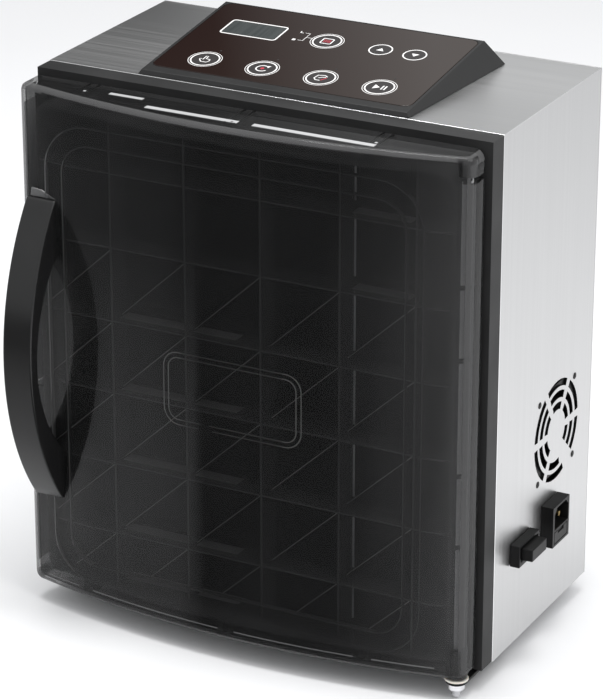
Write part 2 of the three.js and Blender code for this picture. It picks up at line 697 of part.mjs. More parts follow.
function fanFrame() {
  const half = FAN.size / 2;
  const [x0, x1] = [SIDE_IN - 0.6 - FAN.depth, SIDE_IN - 0.6];
  const block = box([x0, x1], [FAN.y - half, FAN.y + half], [FAN.z - half, FAN.z + half]);
  const at = [FAN.y, FAN.z];
  const bore = rod('x', at, FAN.boreR, x0 - 1, x1 + 1, 32);
  const screws = fanHoles().map((hole) => rod('x', hole, 2.3, x0 - 1, x1 + 1, 12));
  const hub = rod('x', at, 14, x0, x0 + 2.5, 20);
  const struts = [box([x0, x0 + 2.5], [FAN.y - 35, FAN.y + 35], [FAN.z - 1.5, FAN.z + 1.5]),
    box([x0, x0 + 2.5], [FAN.y - 1.5, FAN.y + 1.5], [FAN.z - 35, FAN.z + 35])];
  return join(cut(block, bore, ...screws), hub, ...struts);
}

function fanRotor() {
  const x0 = SIDE_IN - 0.6 - FAN.depth + 3.2;
  const hub = rod('x', [FAN.y, FAN.z], 13, x0, x0 + 14, 20);
  const blades = bladeRing(11, FAN.boreR - 1.5, 7, 1.4, x0 + 1.5, x0 + 12.5, 32);
  return join(hub, blades.translate([0, FAN.y, FAN.z]));
}

function fanScrew([y, z]) {
  const head = CASE_W + GAP;
  const tip = 349;
  const profile = [[0, tip], [1.9, tip], [1.9, head], [3.2, head], [2.6, head + 1.2], [0, head + 1.2]];
  return turned('x', [y, z], profile, 12);
}

const INLET_MID_Y = (INLET.y0 + INLET.y1) / 2;
const INLET_PINS = [['line', -7, 79.5], ['neutral', 7, 79.5], ['earth', 0, 85.5]];
const DRAWER = { y0: INLET.y0 + 3.4, y1: INLET.y1 - 3.4, z0: INLET.z0 + 2.4, z1: INLET.split - 1.2, in: 352 };

function inletPin(dy, z, grow = 0) {
  const y = INLET_MID_Y + dy;
  return box([347 - grow * 4, 374 + grow], [y - 1 - grow, y + 1 + grow], [z - 2 - grow, z + 2 + grow]);
}

// Power inlet with a chamfered socket above a fuse drawer. The socket is wider in the rim than in the
// barrel behind it, which keeps a wall on its back side.
function inletBody() {
  const front = CASE_W + INLET.out;
  const { y0, y1, z0, z1, split } = INLET;
  const rim = box([CASE_W + GAP, front], [y0, y1], [z0, z1]);
  const barrel = box([350, CASE_W + 1], [y0 + 3, y1 - 3], [z0 + 2.3, z1 - 2.3]);
  const [a, b, c, d, k] = [y0 + 3.2, y1 - 2, split + 0.8, z1 - 2, 4.5];
  const socketShape = polygon([[a, c], [b, c], [b, d - k], [b - k, d], [a + k, d], [a, d - k]]);
  const socket = prism('x', socketShape, 361, front + 1);
  const barrelSide = box([355, CASE_W + 0.5], [y1 - 3.5, y1], [z0, z1]);
  const drawerRoom = box(
    [DRAWER.in - 0.5, front + 1],
    [DRAWER.y0 - 0.4, DRAWER.y1 + 0.4],
    [DRAWER.z0 - 0.4, DRAWER.z1 + 0.4],
  );
  const pins = INLET_PINS.map(([, dy, z]) => inletPin(dy, z, GAP));
  return cut(join(rim, barrel), socket.subtract(barrelSide), drawerRoom, ...pins);
}

function fuseDrawer() {
  const { y0, y1, z0, z1 } = DRAWER;
  const front = CASE_W + INLET.out;
  const body = box([DRAWER.in, front], [y0, y1], [z0, z1]);
  const fuseTray = box([DRAWER.in + 2, front - 3], [y0 + 2, y1 - 2], [z0 + 1.6, z1 + 5]);
  const nail = box([front - 1.2, front + 1], [INLET_MID_Y - 5, INLET_MID_Y + 5], [z1 - 2.6, z1 + 1]);
  return cut(body, fuseTray, nail);
}

function fuse() {
  const z = (DRAWER.z0 + DRAWER.z1) / 2 + 0.4;
  const [cap, glass] = [2.6, 2.3];
  const profile = [
    [0, 354.6], [cap, 354.6], [cap, 359], [glass, 359], [glass, 369], [cap, 369], [cap, 373.4], [0, 373.4],
  ];
  return turned('x', [INLET_MID_Y, z], profile, 12);
}

const ROCKER = { y: (SWITCH.y0 + SWITCH.y1) / 2, half: 13.5, x: CASE_W + 4, z0: 71.8, z1: 81.4 };

function switchFrame() {
  const { y0, y1, z0, z1, out } = SWITCH;
  const rim = box([CASE_W + GAP, CASE_W + out], [y0, y1], [z0, z1]);
  const barrel = box([350, CASE_W + 1], [y0 + 2.4, y1 - 2.4], [z0 + 2.4, z1 - 2.4]);
  const well = box(
    [CASE_W - 2.5, CASE_W + out + 1],
    [ROCKER.y - ROCKER.half - 1.6, ROCKER.y + ROCKER.half + 1.6],
    [ROCKER.z0 - 0.5, ROCKER.z1 + 0.5],
  );
  return cut(join(rim, barrel), well);
}

// Rocker: a tall block whose underside is rounded about its pivot.
function switchRocker() {
  const { y, half, x, z0, z1 } = ROCKER;
  const front = CASE_W + SWITCH.rockerOut;
  const shape = polygon([
    [x + 0.5, y - half], [front, y - half + 0.8], [front, y + half - 0.8], [x + 0.5, y + half],
    [x - 3.5, y + 5], [x - 3.5, y - 5],
  ]);
  return prism('z', shape, z0, z1);
}

// ---------------------------------------------------------------- door switch

const DOOR_SWITCH = { x: 340, z: 60 };

function doorMicroswitch() {
  const { x, z } = DOOR_SWITCH;
  const body = box([x - 5, x + 5], [-11, -3], [z - 10, z + 10]);
  return cut(body, rod('y', [x, z], 2.3, -14, -6.5, 12));
}

function switchPlunger() {
  const { x, z } = DOOR_SWITCH;
  return rod('y', [x, z], 2, BEZEL_FRONT - 0.1, -8.4, 12);
}

// ---------------------------------------------------------------- assembly

function addCabinet() {
  add('casing_wrap', casingWrap(), MATERIAL.steel);
  add('base_panel', basePanel(), MATERIAL.steel);
  add('back_panel', backPanel(), MATERIAL.steel);
  add('front_bezel', frontBezel(), MATERIAL.darkPlastic);
  const [near, far] = [FOOT_INSET, CASE_D - FOOT_INSET];
  const [left, right] = [FOOT_INSET, CASE_W - FOOT_INSET];
  const feet = {
    front_left: [left, near],
    front_right: [right, near],
    back_left: [left, far],
    back_right: [right, far],
  };
  for (const [where, at] of Object.entries(feet)) {
    add(`foot_${where}`, turned('z', at, FOOT_PROFILE), MATERIAL.rubber);
  }
}

function addChamber() {
  add('chamber_tub', chamberTub(), MATERIAL.steel);
  add('chamber_gasket', chamberGasket(), MATERIAL.silicone);
  add('seal_bar', sealBar(), MATERIAL.aluminium);
  add('heating_strip', box([51, 279], [-3.6, -1.9], [SEAL_Z - 2.5, SEAL_Z + 2.5]), MATERIAL.copper);
  ['left', 'right'].forEach((side, i) => {
    const x = SEAL_RODS_X[i];
    add(`seal_cylinder_${side}`, sealCylinder(x), MATERIAL.aluminium);
    add(`seal_rod_${side}`, rod('y', [x, SEAL_Z], 4, 14 + GAP, 78, 16), MATERIAL.chrome);
  });
}

function addDoor() {
  add('door_cover', doorCover(), MATERIAL.smokeCover);
  add('door_panel', doorPanel(), MATERIAL.smokePanel);
  add('counter_strip', counterStrip(), MATERIAL.silicone);
  add('handle_bow', handleBow(), MATERIAL.darkPlastic);
  add('lower_door_bush', doorBush([DOOR.z0 + 0.2, 20]), MATERIAL.nylon);
  add('upper_door_bush', doorBush([UPPER_BARREL_Z[0] + GAP, 400]), MATERIAL.nylon);
}

function addHinge() {
  add('lower_hinge_plate', hingePlate(lowerPlateShape(), LOWER_PLATE_Z), MATERIAL.blackPlastic);
  add('lower_hinge_pin', lowerHingePin(), MATERIAL.chrome);
  add('hinge_washer', hingeWasher(), MATERIAL.nylon);
  add('upper_hinge_plate', hingePlate(upperArmShape(), UPPER_PLATE_Z), MATERIAL.blackPlastic);
  add('upper_hinge_pin', upperHingePin(), MATERIAL.chrome);
}

function addHead() {
  add('head_housing', headHousing(), MATERIAL.darkPlastic);
  add('touch_glass', onSlope(glassOutline(0), 0, GLASS.t), MATERIAL.panelGlass);
  const { u0, u1, v0, v1 } = DISPLAY;
  add('display_module', onSlope(roundedRect(u0, u1, v0, v1, 1), GLASS.t + GAP, 5.5), MATERIAL.display);
  add('control_board', controlBoard(), MATERIAL.board);
}

function addMachineBay() {
  add('power_board', powerBoard(), MATERIAL.board);
  add('transformer', transformer(), MATERIAL.copper);
  add('pump_bracket', pumpBracket(), MATERIAL.steel);
  add('pump_motor', pumpMotor(), MATERIAL.aluminium);
  add('pump_head', pumpHead(), MATERIAL.aluminium);
  add('pump_fan', pumpFan(), MATERIAL.blackPlastic);
  add('suction_valve', solenoidValve(230), MATERIAL.blackPlastic);
  add('vent_valve', solenoidValve(268), MATERIAL.blackPlastic);
  add('chamber_port', chamberPort(), MATERIAL.brass);
  const spigotX = PUMP.headX[1] - 15;
  const suction = [
    [spigotX, PUMP.y, PUMP.z + 61], [spigotX + 3, PUMP.y, 136], [222, 126, 142], [243, 117, 146],
    [243, 117, 157],
  ];
  const vent = [[281, 117, 157], [281, 118, 140], [274, 124, 112], [258, 120, 100], [256, 101, 100]];
  add('suction_hose', tube(suction, 3.4, 18), MATERIAL.silicone);
  add('vent_hose', tube(vent, 3.4, 18), MATERIAL.silicone);
}

function addSideFittings() {
  add('fan_frame', fanFrame(), MATERIAL.blackPlastic);
  add('fan_rotor', fanRotor(), MATERIAL.blackPlastic);
  fanHoles().forEach((at, i) => add(`fan_screw_${i + 1}`, fanScrew(at), MATERIAL.blackPlastic));
  add('inlet_body', inletBody(), MATERIAL.blackPlastic);
  for (const [name, dy, z] of INLET_PINS) add(`inlet_pin_${name}`, inletPin(dy, z), MATERIAL.brass);
  add('fuse_drawer', fuseDrawer(), MATERIAL.blackPlastic);
  add('fuse', fuse(), MATERIAL.chrome);
  add('switch_frame', switchFrame(), MATERIAL.blackPlastic);
  add('switch_rocker', switchRocker(), MATERIAL.blackPlastic);
  add('door_microswitch', doorMicroswitch(), MATERIAL.blackPlastic);
  add('switch_plunger', switchPlunger(), MATERIAL.nylon);
}

addCabinet();
addChamber();
addDoor();
addHinge();
addHead();
addMachineBay();
addSideFittings();

const leftmost = DOOR.x0;
const rightmost = CASE_W + SWITCH.rockerOut;
const foremost = HANDLE.foot - HANDLE.rise;
const rearmost = CASE_D + GAP + SHEET;
machine.position.set(-(leftmost + rightmost) / 2, -(foremost + rearmost) / 2, FOOT_H);

const model = new THREE.Group();
model.add(machine);

export default model;
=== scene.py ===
"""Looks of an upright chamber vacuum sealer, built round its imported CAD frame.

Sizes and places are in millimetres in the cabinet's own frame: X to the right and Y to the back from the
front left edge of the steel casing, and Z up from its underside. Every piece rides on a CAD body.
"""

import json
import math

import bmesh
import bpy
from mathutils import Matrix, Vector

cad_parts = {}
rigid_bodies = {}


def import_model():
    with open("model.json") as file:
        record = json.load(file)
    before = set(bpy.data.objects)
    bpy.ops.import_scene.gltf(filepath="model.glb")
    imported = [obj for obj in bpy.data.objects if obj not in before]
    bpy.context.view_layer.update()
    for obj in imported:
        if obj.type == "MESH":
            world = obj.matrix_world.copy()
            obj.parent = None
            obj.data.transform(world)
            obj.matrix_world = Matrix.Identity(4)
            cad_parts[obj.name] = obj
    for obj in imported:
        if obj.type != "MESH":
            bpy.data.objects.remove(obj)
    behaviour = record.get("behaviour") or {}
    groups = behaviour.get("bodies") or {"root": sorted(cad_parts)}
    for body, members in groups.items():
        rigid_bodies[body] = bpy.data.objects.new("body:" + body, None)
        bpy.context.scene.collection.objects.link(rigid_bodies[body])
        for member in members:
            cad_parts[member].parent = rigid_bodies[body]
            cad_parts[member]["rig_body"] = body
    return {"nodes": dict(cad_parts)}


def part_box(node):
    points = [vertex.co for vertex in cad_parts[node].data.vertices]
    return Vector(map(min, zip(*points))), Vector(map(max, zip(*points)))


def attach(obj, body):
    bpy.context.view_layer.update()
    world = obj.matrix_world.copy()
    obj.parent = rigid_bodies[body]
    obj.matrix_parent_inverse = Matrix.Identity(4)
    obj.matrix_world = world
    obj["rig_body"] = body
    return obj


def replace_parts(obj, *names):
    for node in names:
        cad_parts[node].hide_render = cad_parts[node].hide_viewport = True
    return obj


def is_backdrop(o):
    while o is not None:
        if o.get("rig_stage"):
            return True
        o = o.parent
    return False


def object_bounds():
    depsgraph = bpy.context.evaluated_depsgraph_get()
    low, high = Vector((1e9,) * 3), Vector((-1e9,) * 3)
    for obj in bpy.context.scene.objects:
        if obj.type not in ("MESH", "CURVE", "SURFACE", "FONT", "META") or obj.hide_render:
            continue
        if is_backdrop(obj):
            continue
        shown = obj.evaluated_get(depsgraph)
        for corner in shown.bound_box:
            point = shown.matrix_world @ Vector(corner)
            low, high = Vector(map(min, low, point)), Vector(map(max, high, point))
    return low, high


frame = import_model()
cad_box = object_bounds()

MM = 0.001
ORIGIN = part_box("casing_wrap")[0]
CABINET, DOOR = "cabinet", "door"


def at(x, y, z):
    """A place in the cabinet's frame, in millimetres, as a point of the row frame."""
    return ORIGIN + Vector((x, y, z)) * MM


def span(node):
    """Low and high corner of a CAD node, in millimetres in the cabinet's frame."""
    return tuple((corner - ORIGIN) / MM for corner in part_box(node))


# ---------------------------------------------------------------- driving dimensions

CASE_W, CASE_H = span("casing_wrap")[1].xz

DOOR_LOW, DOOR_HIGH = span("door_cover")
DOOR_CROWN_R = 735
DOOR_CROWN_X = 184
DOOR_WALL = 3
DOOR_CORNER_R = 11
DOOR_EDGE_R = 7
COVER_STEPS = 48
NOTCH_X, NOTCH_Z = 336, (384.8, 389.4)

PLATE_FRONT = -21
RIB_FRONT = -42
BRACE_FRONT = -30
RIB_COLUMNS = (74, 136, 198, 262, 322)
RIB_ROWS = 7
BRACED_ROWS = 5
BRACE_SLOPE = 0.93
RING_INSET = 13
RIB_CLEARANCE = 1.3
GUSSET_PAIRS_X = (50, 178, 288)
GUSSET_SIDES = (-4.6, 3)
GUSSETS_Z = (107, 163, 252, 307)
RIDGE_Y = (-44, -40)

HINGE_X, HINGE_Y = 355, -34
BADGE_X, BADGE_Z = (131, 237), (172, 222)
BADGE_CORNER_R = 9

HANDLE_X = (5.2, 29.8)
HANDLE_Z = 199
HANDLE_HALF = 115
HANDLE_PAD = 5
HANDLE_FOOT_Y = -50
HANDLE_RISE = 36
GRIP_INNER_R = 110
GRIP_INNER_Y = -76.4

GLASS_X, GLASS_Y = 184, 70.5
GLASS_TOP_Z = CASE_H + 3.3
GLASS_SLOPE = math.atan(0.1317)
PRINT_LIFT = 0.08
FRONT_BUTTONS = [(-71.4, -37.5), (-24.1, -37.5), (23.6, -37.5), (70.8, -37.5)]
MODE_BUTTON = (-1.2, 21.2)
ARROW_BUTTONS = [(42.8, 21), (70.4, 21)]
WINDOW_U, WINDOW_V = (-85, -39), (9, 33)

VENT_R = 45
SCREW_SIDES = 24
# Shares of a screw head's radius and height: the dome from its rim, the cross, and between its arms.
SCREW_DOME = ((1, 0), (1, 0.35), (0.86, 0.75), (0.6, 1.0), (0.45, 1.0))
SCREW_CROSS, SCREW_LAND = (0.4, 0.55), (0.14, 0.92)

CAMERA_AZIMUTH = 27.65
CAMERA_ELEVATION = 22.46
CAMERA_DISTANCE = 2.6125
CAMERA_TARGET = Vector((-0.0179, 0.0282, 0.2020))
CAMERA_LENS = 177.7


# ---------------------------------------------------------------- materials


# The sockets of a mix node for its two inputs and its result, which share their names between kinds.
MIX_SOCKETS = {"FLOAT": (2, 3, 0), "RGBA": (6, 7, 2)}


class Shader:
    """A Principled material, with short calls for the textures that vary it."""

    def __init__(self, name, **sockets):
        self.material = bpy.data.materials.new(name)
        self.material.use_nodes = True
        self.tree = self.material.node_tree
        self.bsdf = self.tree.nodes["Principled BSDF"]
        for socket, value in sockets.items():
            self.bsdf.inputs[socket.replace("_", " ")].default_value = value
        self.place = self.tree.nodes.new("ShaderNodeTexCoord").outputs["Object"]

    def node(self, kind, **inputs):
        """A new node, each input given as a value or as another node's socket."""
        node = self.tree.nodes.new(kind)
        for socket, value in inputs.items():
            self.feed(node.inputs[socket.replace("_", " ")], value)
        return node

    def feed(self, socket, value):
        """Links a socket into an input, or sets the input to a value."""
        if isinstance(value, bpy.types.NodeSocket):
            self.tree.links.new(value, socket)
        else:
            socket.default_value = value

    def noise(self, scale, detail, stretch=(1, 1, 1)):
        """Cloudy noise, drawn out along each axis whose stretch is below 1."""
        place = self.node("ShaderNodeMapping", Vector=self.place, Scale=stretch).outputs["Vector"]
        return self.node("ShaderNodeTexNoise", Vector=place, Scale=scale, Detail=detail).outputs["Fac"]

    def grain(self, scale):
        """Small cells, as on a spark-eroded or spangled face."""
        return self.node("ShaderNodeTexVoronoi", Vector=self.place, Scale=scale).outputs["Distance"]

    def ranged(self, factor, low, high, source=(0.3, 0.7)):
        """The factor, moved from the source range to the range from low to high."""
        node = self.node("ShaderNodeMapRange", Value=factor)
        for socket, value in zip(("From Min", "From Max", "To Min", "To Max"), (*source, low, high)):
            node.inputs[socket].default_value = value
        return node.outputs["Result"]

    def mixed(self, kind, factor, first, second):
        """Blend of two values (kind FLOAT) or of two colours (kind RGBA)."""
        first_socket, second_socket, result = MIX_SOCKETS[kind]
        mix = self.node("ShaderNodeMix", Factor=factor)
        mix.data_type = kind
        self.feed(mix.inputs[first_socket], first)
        self.feed(mix.inputs[second_socket], second)
        return mix.outputs[result]

    def color(self, factor, dark, light):
        tones = self.mixed("RGBA", factor, (*dark, 1), (*light, 1))
        self.feed(self.bsdf.inputs["Base Color"], tones)
        return self

    def roughness(self, factor, low, high):
        self.feed(self.bsdf.inputs["Roughness"], self.ranged(factor, low, high))
        return self

    def bump(self, height, depth_mm, strength=1.0):
        node = self.node("ShaderNodeBump", Height=height, Distance=depth_mm * MM, Strength=strength)
        self.feed(self.bsdf.inputs["Normal"], node.outputs["Normal"])
        return self


def grey(value):
    """A grey with a trace of blue."""
    return (value, value, value * 1.01)


def brushed_steel():
    """Satin steel, brushed upright on the walls and from side to side on the top."""
    shader = Shader("brushed_steel", Metallic=1.0, Anisotropic=0.3)
    upright = shader.noise(420, 3, (1, 1, 0.01))
    across = shader.noise(420, 3, (0.01, 1, 1))
    normal = shader.node("ShaderNodeNewGeometry").outputs["Normal"]
    up = shader.node("ShaderNodeSeparateXYZ", Vector=normal).outputs["Z"]
    on_top = shader.ranged(up, 0, 1, (0.4, 0.6))
    lines = shader.mixed("FLOAT", on_top, upright, across)
    shader.color(shader.ranged(lines, 0, 1), (0.56, 0.56, 0.56), (0.595, 0.595, 0.595))
    return shader.roughness(lines, 0.32, 0.38).bump(lines, 0.004, 0.3).material


def drawn_steel():
    """Deep-drawn chamber steel, with long soft streaks."""
    shader = Shader("drawn_steel", Metallic=1.0)
    streaks = shader.noise(220, 4, (0.05, 1, 1))
    shader.color(shader.ranged(streaks, 0, 1), (0.42, 0.42, 0.43), (0.55, 0.55, 0.56))
    return shader.roughness(streaks, 0.26, 0.4).bump(streaks, 0.02, 0.4).material


def zinc_steel():
    """Galvanised sheet with its spangle."""
    shader = Shader("zinc_steel", Metallic=1.0)
    spangle = shader.grain(160)
    shader.color(spangle, (0.45, 0.46, 0.48), (0.62, 0.62, 0.63))
    return shader.roughness(spangle, 0.35, 0.5).material


def moulded_plastic(name, tone, grain_mm=0.05, rough=(0.42, 0.52), specular=0.5):
    """Moulded plastic with a fine spark-eroded grain and a faint change of tone."""
    shader = Shader(name, IOR=1.46, Specular_IOR_Level=specular)
    cloud = shader.noise(28, 2)
    shader.color(shader.ranged(cloud, 0, 1), grey(tone * 0.9), grey(tone * 1.1))
    shader.roughness(cloud, *rough)
    return shader.bump(shader.grain(2600), grain_mm, 0.35).material


def clear_smoke(name, alpha, dark, light, rough=(0.03, 0.06), wave_mm=0.0, specular=0.5):
    """Clear smoked plastic, with a faint unevenness of the moulding."""
    shader = Shader(name, Alpha=alpha, IOR=1.5, Specular_IOR_Level=specular)
    flow = shader.noise(9, 2, (1, 1, 0.4))
    shader.color(shader.ranged(flow, 0, 1), grey(dark), grey(light))
    shader.roughness(flow, *rough)
    return shader.bump(flow, wave_mm, 0.15).material


def panel_glass():
    """Glass of the touch panel, printed brown from behind, lighter towards the right."""
    shader = Shader("panel_glass", Roughness=0.05, IOR=1.42)
    x = shader.node("ShaderNodeSeparateXYZ", Vector=shader.place).outputs["X"]
    left, right = (corner.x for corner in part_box("touch_glass"))
    speckle = shader.ranged(shader.noise(900, 2), -0.02, 0.02)
    fade = shader.node("ShaderNodeMath", Value=shader.ranged(x, 0, 1, (left, right)))
    shader.feed(fade.inputs[1], speckle)
    shader.color(fade.outputs[0], (0.013, 0.006, 0.005), (0.021, 0.014, 0.011))
    return shader.material


def printed(name, color):
    """Screen print on the glass."""
    shader = Shader(name, Roughness=0.5)
    ink = shader.noise(1500, 2)
    shade = tuple(value * 0.85 for value in color)
    return shader.color(shader.ranged(ink, 0, 1), shade, color).material


def display_face():
    """Face of the display, with faint level lines."""
    shader = Shader("display_face", IOR=1.5, Roughness=0.2)
    lines = shader.noise(500, 1, (1, 0.03, 0.03))
    return shader.color(shader.ranged(lines, 0, 1), (0.03, 0.035, 0.035), (0.045, 0.05, 0.05)).material


def rubber():
    """Dull rubber with a little dust."""
    shader = Shader("rubber", IOR=1.45)
    dust = shader.noise(120, 4)
    shader.color(shader.ranged(dust, 0, 1), grey(0.012), grey(0.03))
    return shader.roughness(dust, 0.7, 0.85).bump(shader.grain(1500), 0.08, 0.5).material


def silicone():
    """Milky silicone."""
    shader = Shader("silicone", Subsurface_Weight=0.2, Subsurface_Scale=0.002, IOR=1.42)
    cloud = shader.noise(60, 3)
    shader.color(shader.ranged(cloud, 0, 1), (0.42, 0.42, 0.40), (0.52, 0.52, 0.50))
    return shader.roughness(cloud, 0.45, 0.6).material


def nylon():
    """Off-white nylon."""
    shader = Shader("nylon", IOR=1.5, Subsurface_Weight=0.15, Subsurface_Scale=0.002)
    cloud = shader.noise(90, 3)
    shader.color(shader.ranged(cloud, 0, 1), (0.66, 0.64, 0.58), (0.74, 0.72, 0.66))
    return shader.roughness(cloud, 0.4, 0.55).material


def metal(name, dark, light, rough):
    """A turned, cast or plated metal with a fine cloudy finish."""
    shader = Shader(name, Metallic=1.0)
    cloud = shader.noise(180, 4)
    shader.color(shader.ranged(cloud, 0, 1), dark, light)
    return shader.roughness(cloud, *rough).bump(cloud, 0.01, 0.3).material


def circuit_board():
    """Green board with its tracks under the lacquer."""
    shader = Shader("circuit_board", IOR=1.5, Roughness=0.35)
    tracks = shader.ranged(shader.noise(260, 1, (1, 0.15, 0.15)), 0, 1, (0.48, 0.52))
    return shader.color(tracks, (0.01, 0.09, 0.035), (0.03, 0.16, 0.06)).material


def lamination():
    """Stacked core sheets of a transformer."""
    shader = Shader("lamination", Metallic=0.6)
    sheets = shader.noise(900, 1, (1, 0.02, 0.02))
    shader.color(shader.ranged(sheets, 0, 1), (0.10, 0.07, 0.05), (0.26, 0.15, 0.08))
    return shader.roughness(sheets, 0.4, 0.6).material


def pale_floor():
    """White studio floor."""
    shader = Shader("pale_floor", Roughness=0.9)
    cloud = shader.noise(3, 2)
    return shader.color(shader.ranged(cloud, 0, 1), grey(0.86), grey(0.88)).material


STEEL = brushed_steel()
TUB_STEEL = drawn_steel()
ZINC = zinc_steel()
BEZEL = moulded_plastic("bezel_plastic", 0.024, specular=0.2)
HEAD = moulded_plastic("head_plastic", 0.014, specular=0.4)
HANDLE = moulded_plastic("handle_plastic", 0.012, 0.02, (0.20, 0.26), 0.5)
BLACK = moulded_plastic("black_plastic", 0.007, 0.03, (0.3, 0.42), 0.15)
COVER = clear_smoke("smoked_cover", 0.47, 0.014, 0.018, (0.01, 0.03), wave_mm=0.02)
# Paler smoke for the cover's rounded edges and its left front edge: painted highlights.
COVER_EDGE_HIGHLIGHT = clear_smoke("smoked_cover_edge_highlight", 0.8, 0.075, 0.09, (0.08, 0.14), specular=0.1)
COVER_BAND_HIGHLIGHT = clear_smoke("smoked_cover_band_highlight", 0.85, 0.15, 0.17, (0.08, 0.14), specular=0.1)
RIB = clear_smoke("smoked_rib", 0.65, 0.1, 0.14, (0.1, 0.2))
# More opaque smoke for the ridges, and as a painted highlight along the ribs' front edges.
RIB_EDGE = clear_smoke("rib_edge", 0.85, 0.09, 0.12, (0.1, 0.2))
PLATE = clear_smoke("smoked_plate", 0.97, 0.005, 0.008, (0.15, 0.25))
# Near-white smoke for painted highlights: the glint at one rib's root and inside the cover's upright edges.
EDGE_GLINT = clear_smoke("painted_edge_glint", 0.98, 0.7, 0.85, (0.2, 0.3))
# Pale smoke for painted highlights on the braces' front edges and the level ribs' tops.
RIB_HIGHLIGHT = clear_smoke("painted_rib_highlight", 0.9, 0.34, 0.42, (0.2, 0.3))
LINE = clear_smoke("moulded_line", 0.9, 0.05, 0.065, (0.1, 0.2))
DARK_LINE = clear_smoke("dark_line", 0.8, 0.003, 0.005, (0.3, 0.4))
# Paler smoke for the painted highlight along the foot of the door's front.
FOOT_HIGHLIGHT = clear_smoke("painted_foot_highlight", 0.9, 0.09, 0.12, (0.1, 0.2))
LUG = clear_smoke("handle_lug", 0.85, 0.12, 0.16, (0.08, 0.14))
# Pale opaque smoke for the painted highlights on the cover's top wall.
TOP_WALL_HIGHLIGHT = clear_smoke("painted_top_wall_highlight", 1.0, 0.4, 0.46, (0.2, 0.3))
GLASS = panel_glass()
WHITE_PRINT = printed("white_print", (0.78, 0.77, 0.76))
RED_PRINT = printed("red_print", (0.42, 0.03, 0.05))
DARK_PRINT = printed("dark_print", (0.02, 0.017, 0.017))
DISPLAY = display_face()
RUBBER = rubber()
SILICONE = silicone()
NYLON = nylon()
# Paler, smoother steel for the painted highlight on the casing's top and front edges.
STEEL_EDGE_HIGHLIGHT = metal("painted_steel_edge_highlight", (0.90, 0.90, 0.91), (0.96, 0.96, 0.96), (0.16, 0.22))
CHROME = metal("chrome", (0.72, 0.72, 0.74), (0.82, 0.82, 0.84), (0.08, 0.16))
ALUMINIUM = metal("aluminium", (0.50, 0.51, 0.52), (0.62, 0.63, 0.64), (0.35, 0.5))
BRASS = metal("brass", (0.50, 0.36, 0.14), (0.66, 0.50, 0.24), (0.22, 0.35))
ALLOY = metal("heating_alloy", (0.36, 0.26, 0.20), (0.50, 0.38, 0.30), (0.3, 0.45))
BOARD = circuit_board()
CORE = lamination()
FLOOR = pale_floor()


# ---------------------------------------------------------------- mesh helpers


def new_object(name, data):
    """A new object in the scene that shows the given data."""
    obj = bpy.data.objects.new(name, data)
    bpy.context.scene.collection.objects.link(obj)
    return obj


def from_bmesh(name, bm):
    """A new object made from a bmesh, which is freed."""
    bmesh.ops.recalc_face_normals(bm, faces=bm.faces)
    mesh = bpy.data.meshes.new(name)
    bm.to_mesh(mesh)
    bm.free()
    return new_object(name, mesh)


def dress(obj, material, body, smooth_angle=32):
    """Gives a finished piece its material, body and slot, and smooth shading between its sharp edges."""
    obj.data.materials.clear()
    obj.data.materials.append(material)
    obj.data.shade_smooth()
    obj.data.set_sharp_from_angle(angle=math.radians(smooth_angle))
    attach(obj, body)
    return obj


def bevel(obj, width, segments=2, angle=35, weighted=False):
    """Rounds the edges sharper than the angle, or those with a bevel weight."""
    modifier = obj.modifiers.new("rounded_edges", "BEVEL")
    modifier.width = width * MM
    modifier.segments = segments
    modifier.limit_method = "WEIGHT" if weighted else "ANGLE"
    modifier.angle_limit = math.radians(angle)
    obj.modifiers.new("even_shading", "WEIGHTED_NORMAL").keep_sharp = True
    return obj


def settled(obj):
    """The object with its modifiers applied."""
    bpy.context.view_layer.update()
    graph = bpy.context.evaluated_depsgraph_get()
    mesh = bpy.data.meshes.new_from_object(obj.evaluated_get(graph))
    obj.modifiers.clear()
    obj.data = mesh
    return obj


def softened(node, width, material, fine, long_mm=60):
    """A CAD node's shape, rounded by the width on long edges and by the fine share of it on the rest."""
    cad = frame["nodes"][node]
    bm = bmesh.new()
    bm.from_mesh(cad.data)
    bmesh.ops.remove_doubles(bm, verts=bm.verts, dist=1e-6)
    bmesh.ops.dissolve_limit(bm, angle_limit=math.radians(1), verts=bm.verts, edges=bm.edges)
    weight = bm.edges.layers.float.new("bevel_weight_edge")
    for edge in bm.edges:
        if len(edge.link_faces) == 2 and edge.calc_face_angle() > math.radians(35):
            edge[weight] = 1.0 if edge.calc_length() > long_mm * MM else fine
    obj = from_bmesh(node + "_rounded", bm)
    bevel(obj, width, weighted=True)
    dress(obj, material, cad["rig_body"], 40)
    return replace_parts(obj, node)


def paint(material, *nodes):
    """Gives a better material to CAD nodes that keep their own mesh."""
    for node in nodes:
        data = frame["nodes"][node].data
        data.materials.clear()
        data.materials.append(material)


def box_into(bm, x, y, z):
    """Adds a box between pairs of millimetre coordinates to a bmesh."""
    corners = [bm.verts.new(at(a, b, c)) for a in x for b in y for c in z]
    for face in ((0, 1, 3, 2), (4, 6, 7, 5), (0, 4, 5, 1), (2, 3, 7, 6), (0, 2, 6, 4), (1, 5, 7, 3)):
        bm.faces.new([corners[i] for i in face])


def skin_into(bm, rings, closed=True):
    """Joins each ring of vertices to the next one, and the last to the first if it is closed."""
    following = rings[1:] + rings[:1] if closed else rings[1:]
    for low, high in zip(rings, following):
        for i in range(len(low)):
            j = (i + 1) % len(low)
            bm.faces.new([low[i], low[j], high[j], high[i]])


def prism_into(bm, outline, place):
    """Adds a closed prism: outline lists 2-D points, and place(point, end) puts each at both ends."""
    ends = [[bm.verts.new(place(point, end)) for point in outline] for end in (0, 1)]
    bm.faces.new(ends[0][::-1])
    bm.faces.new(ends[1])
    skin_into(bm, ends, closed=False)


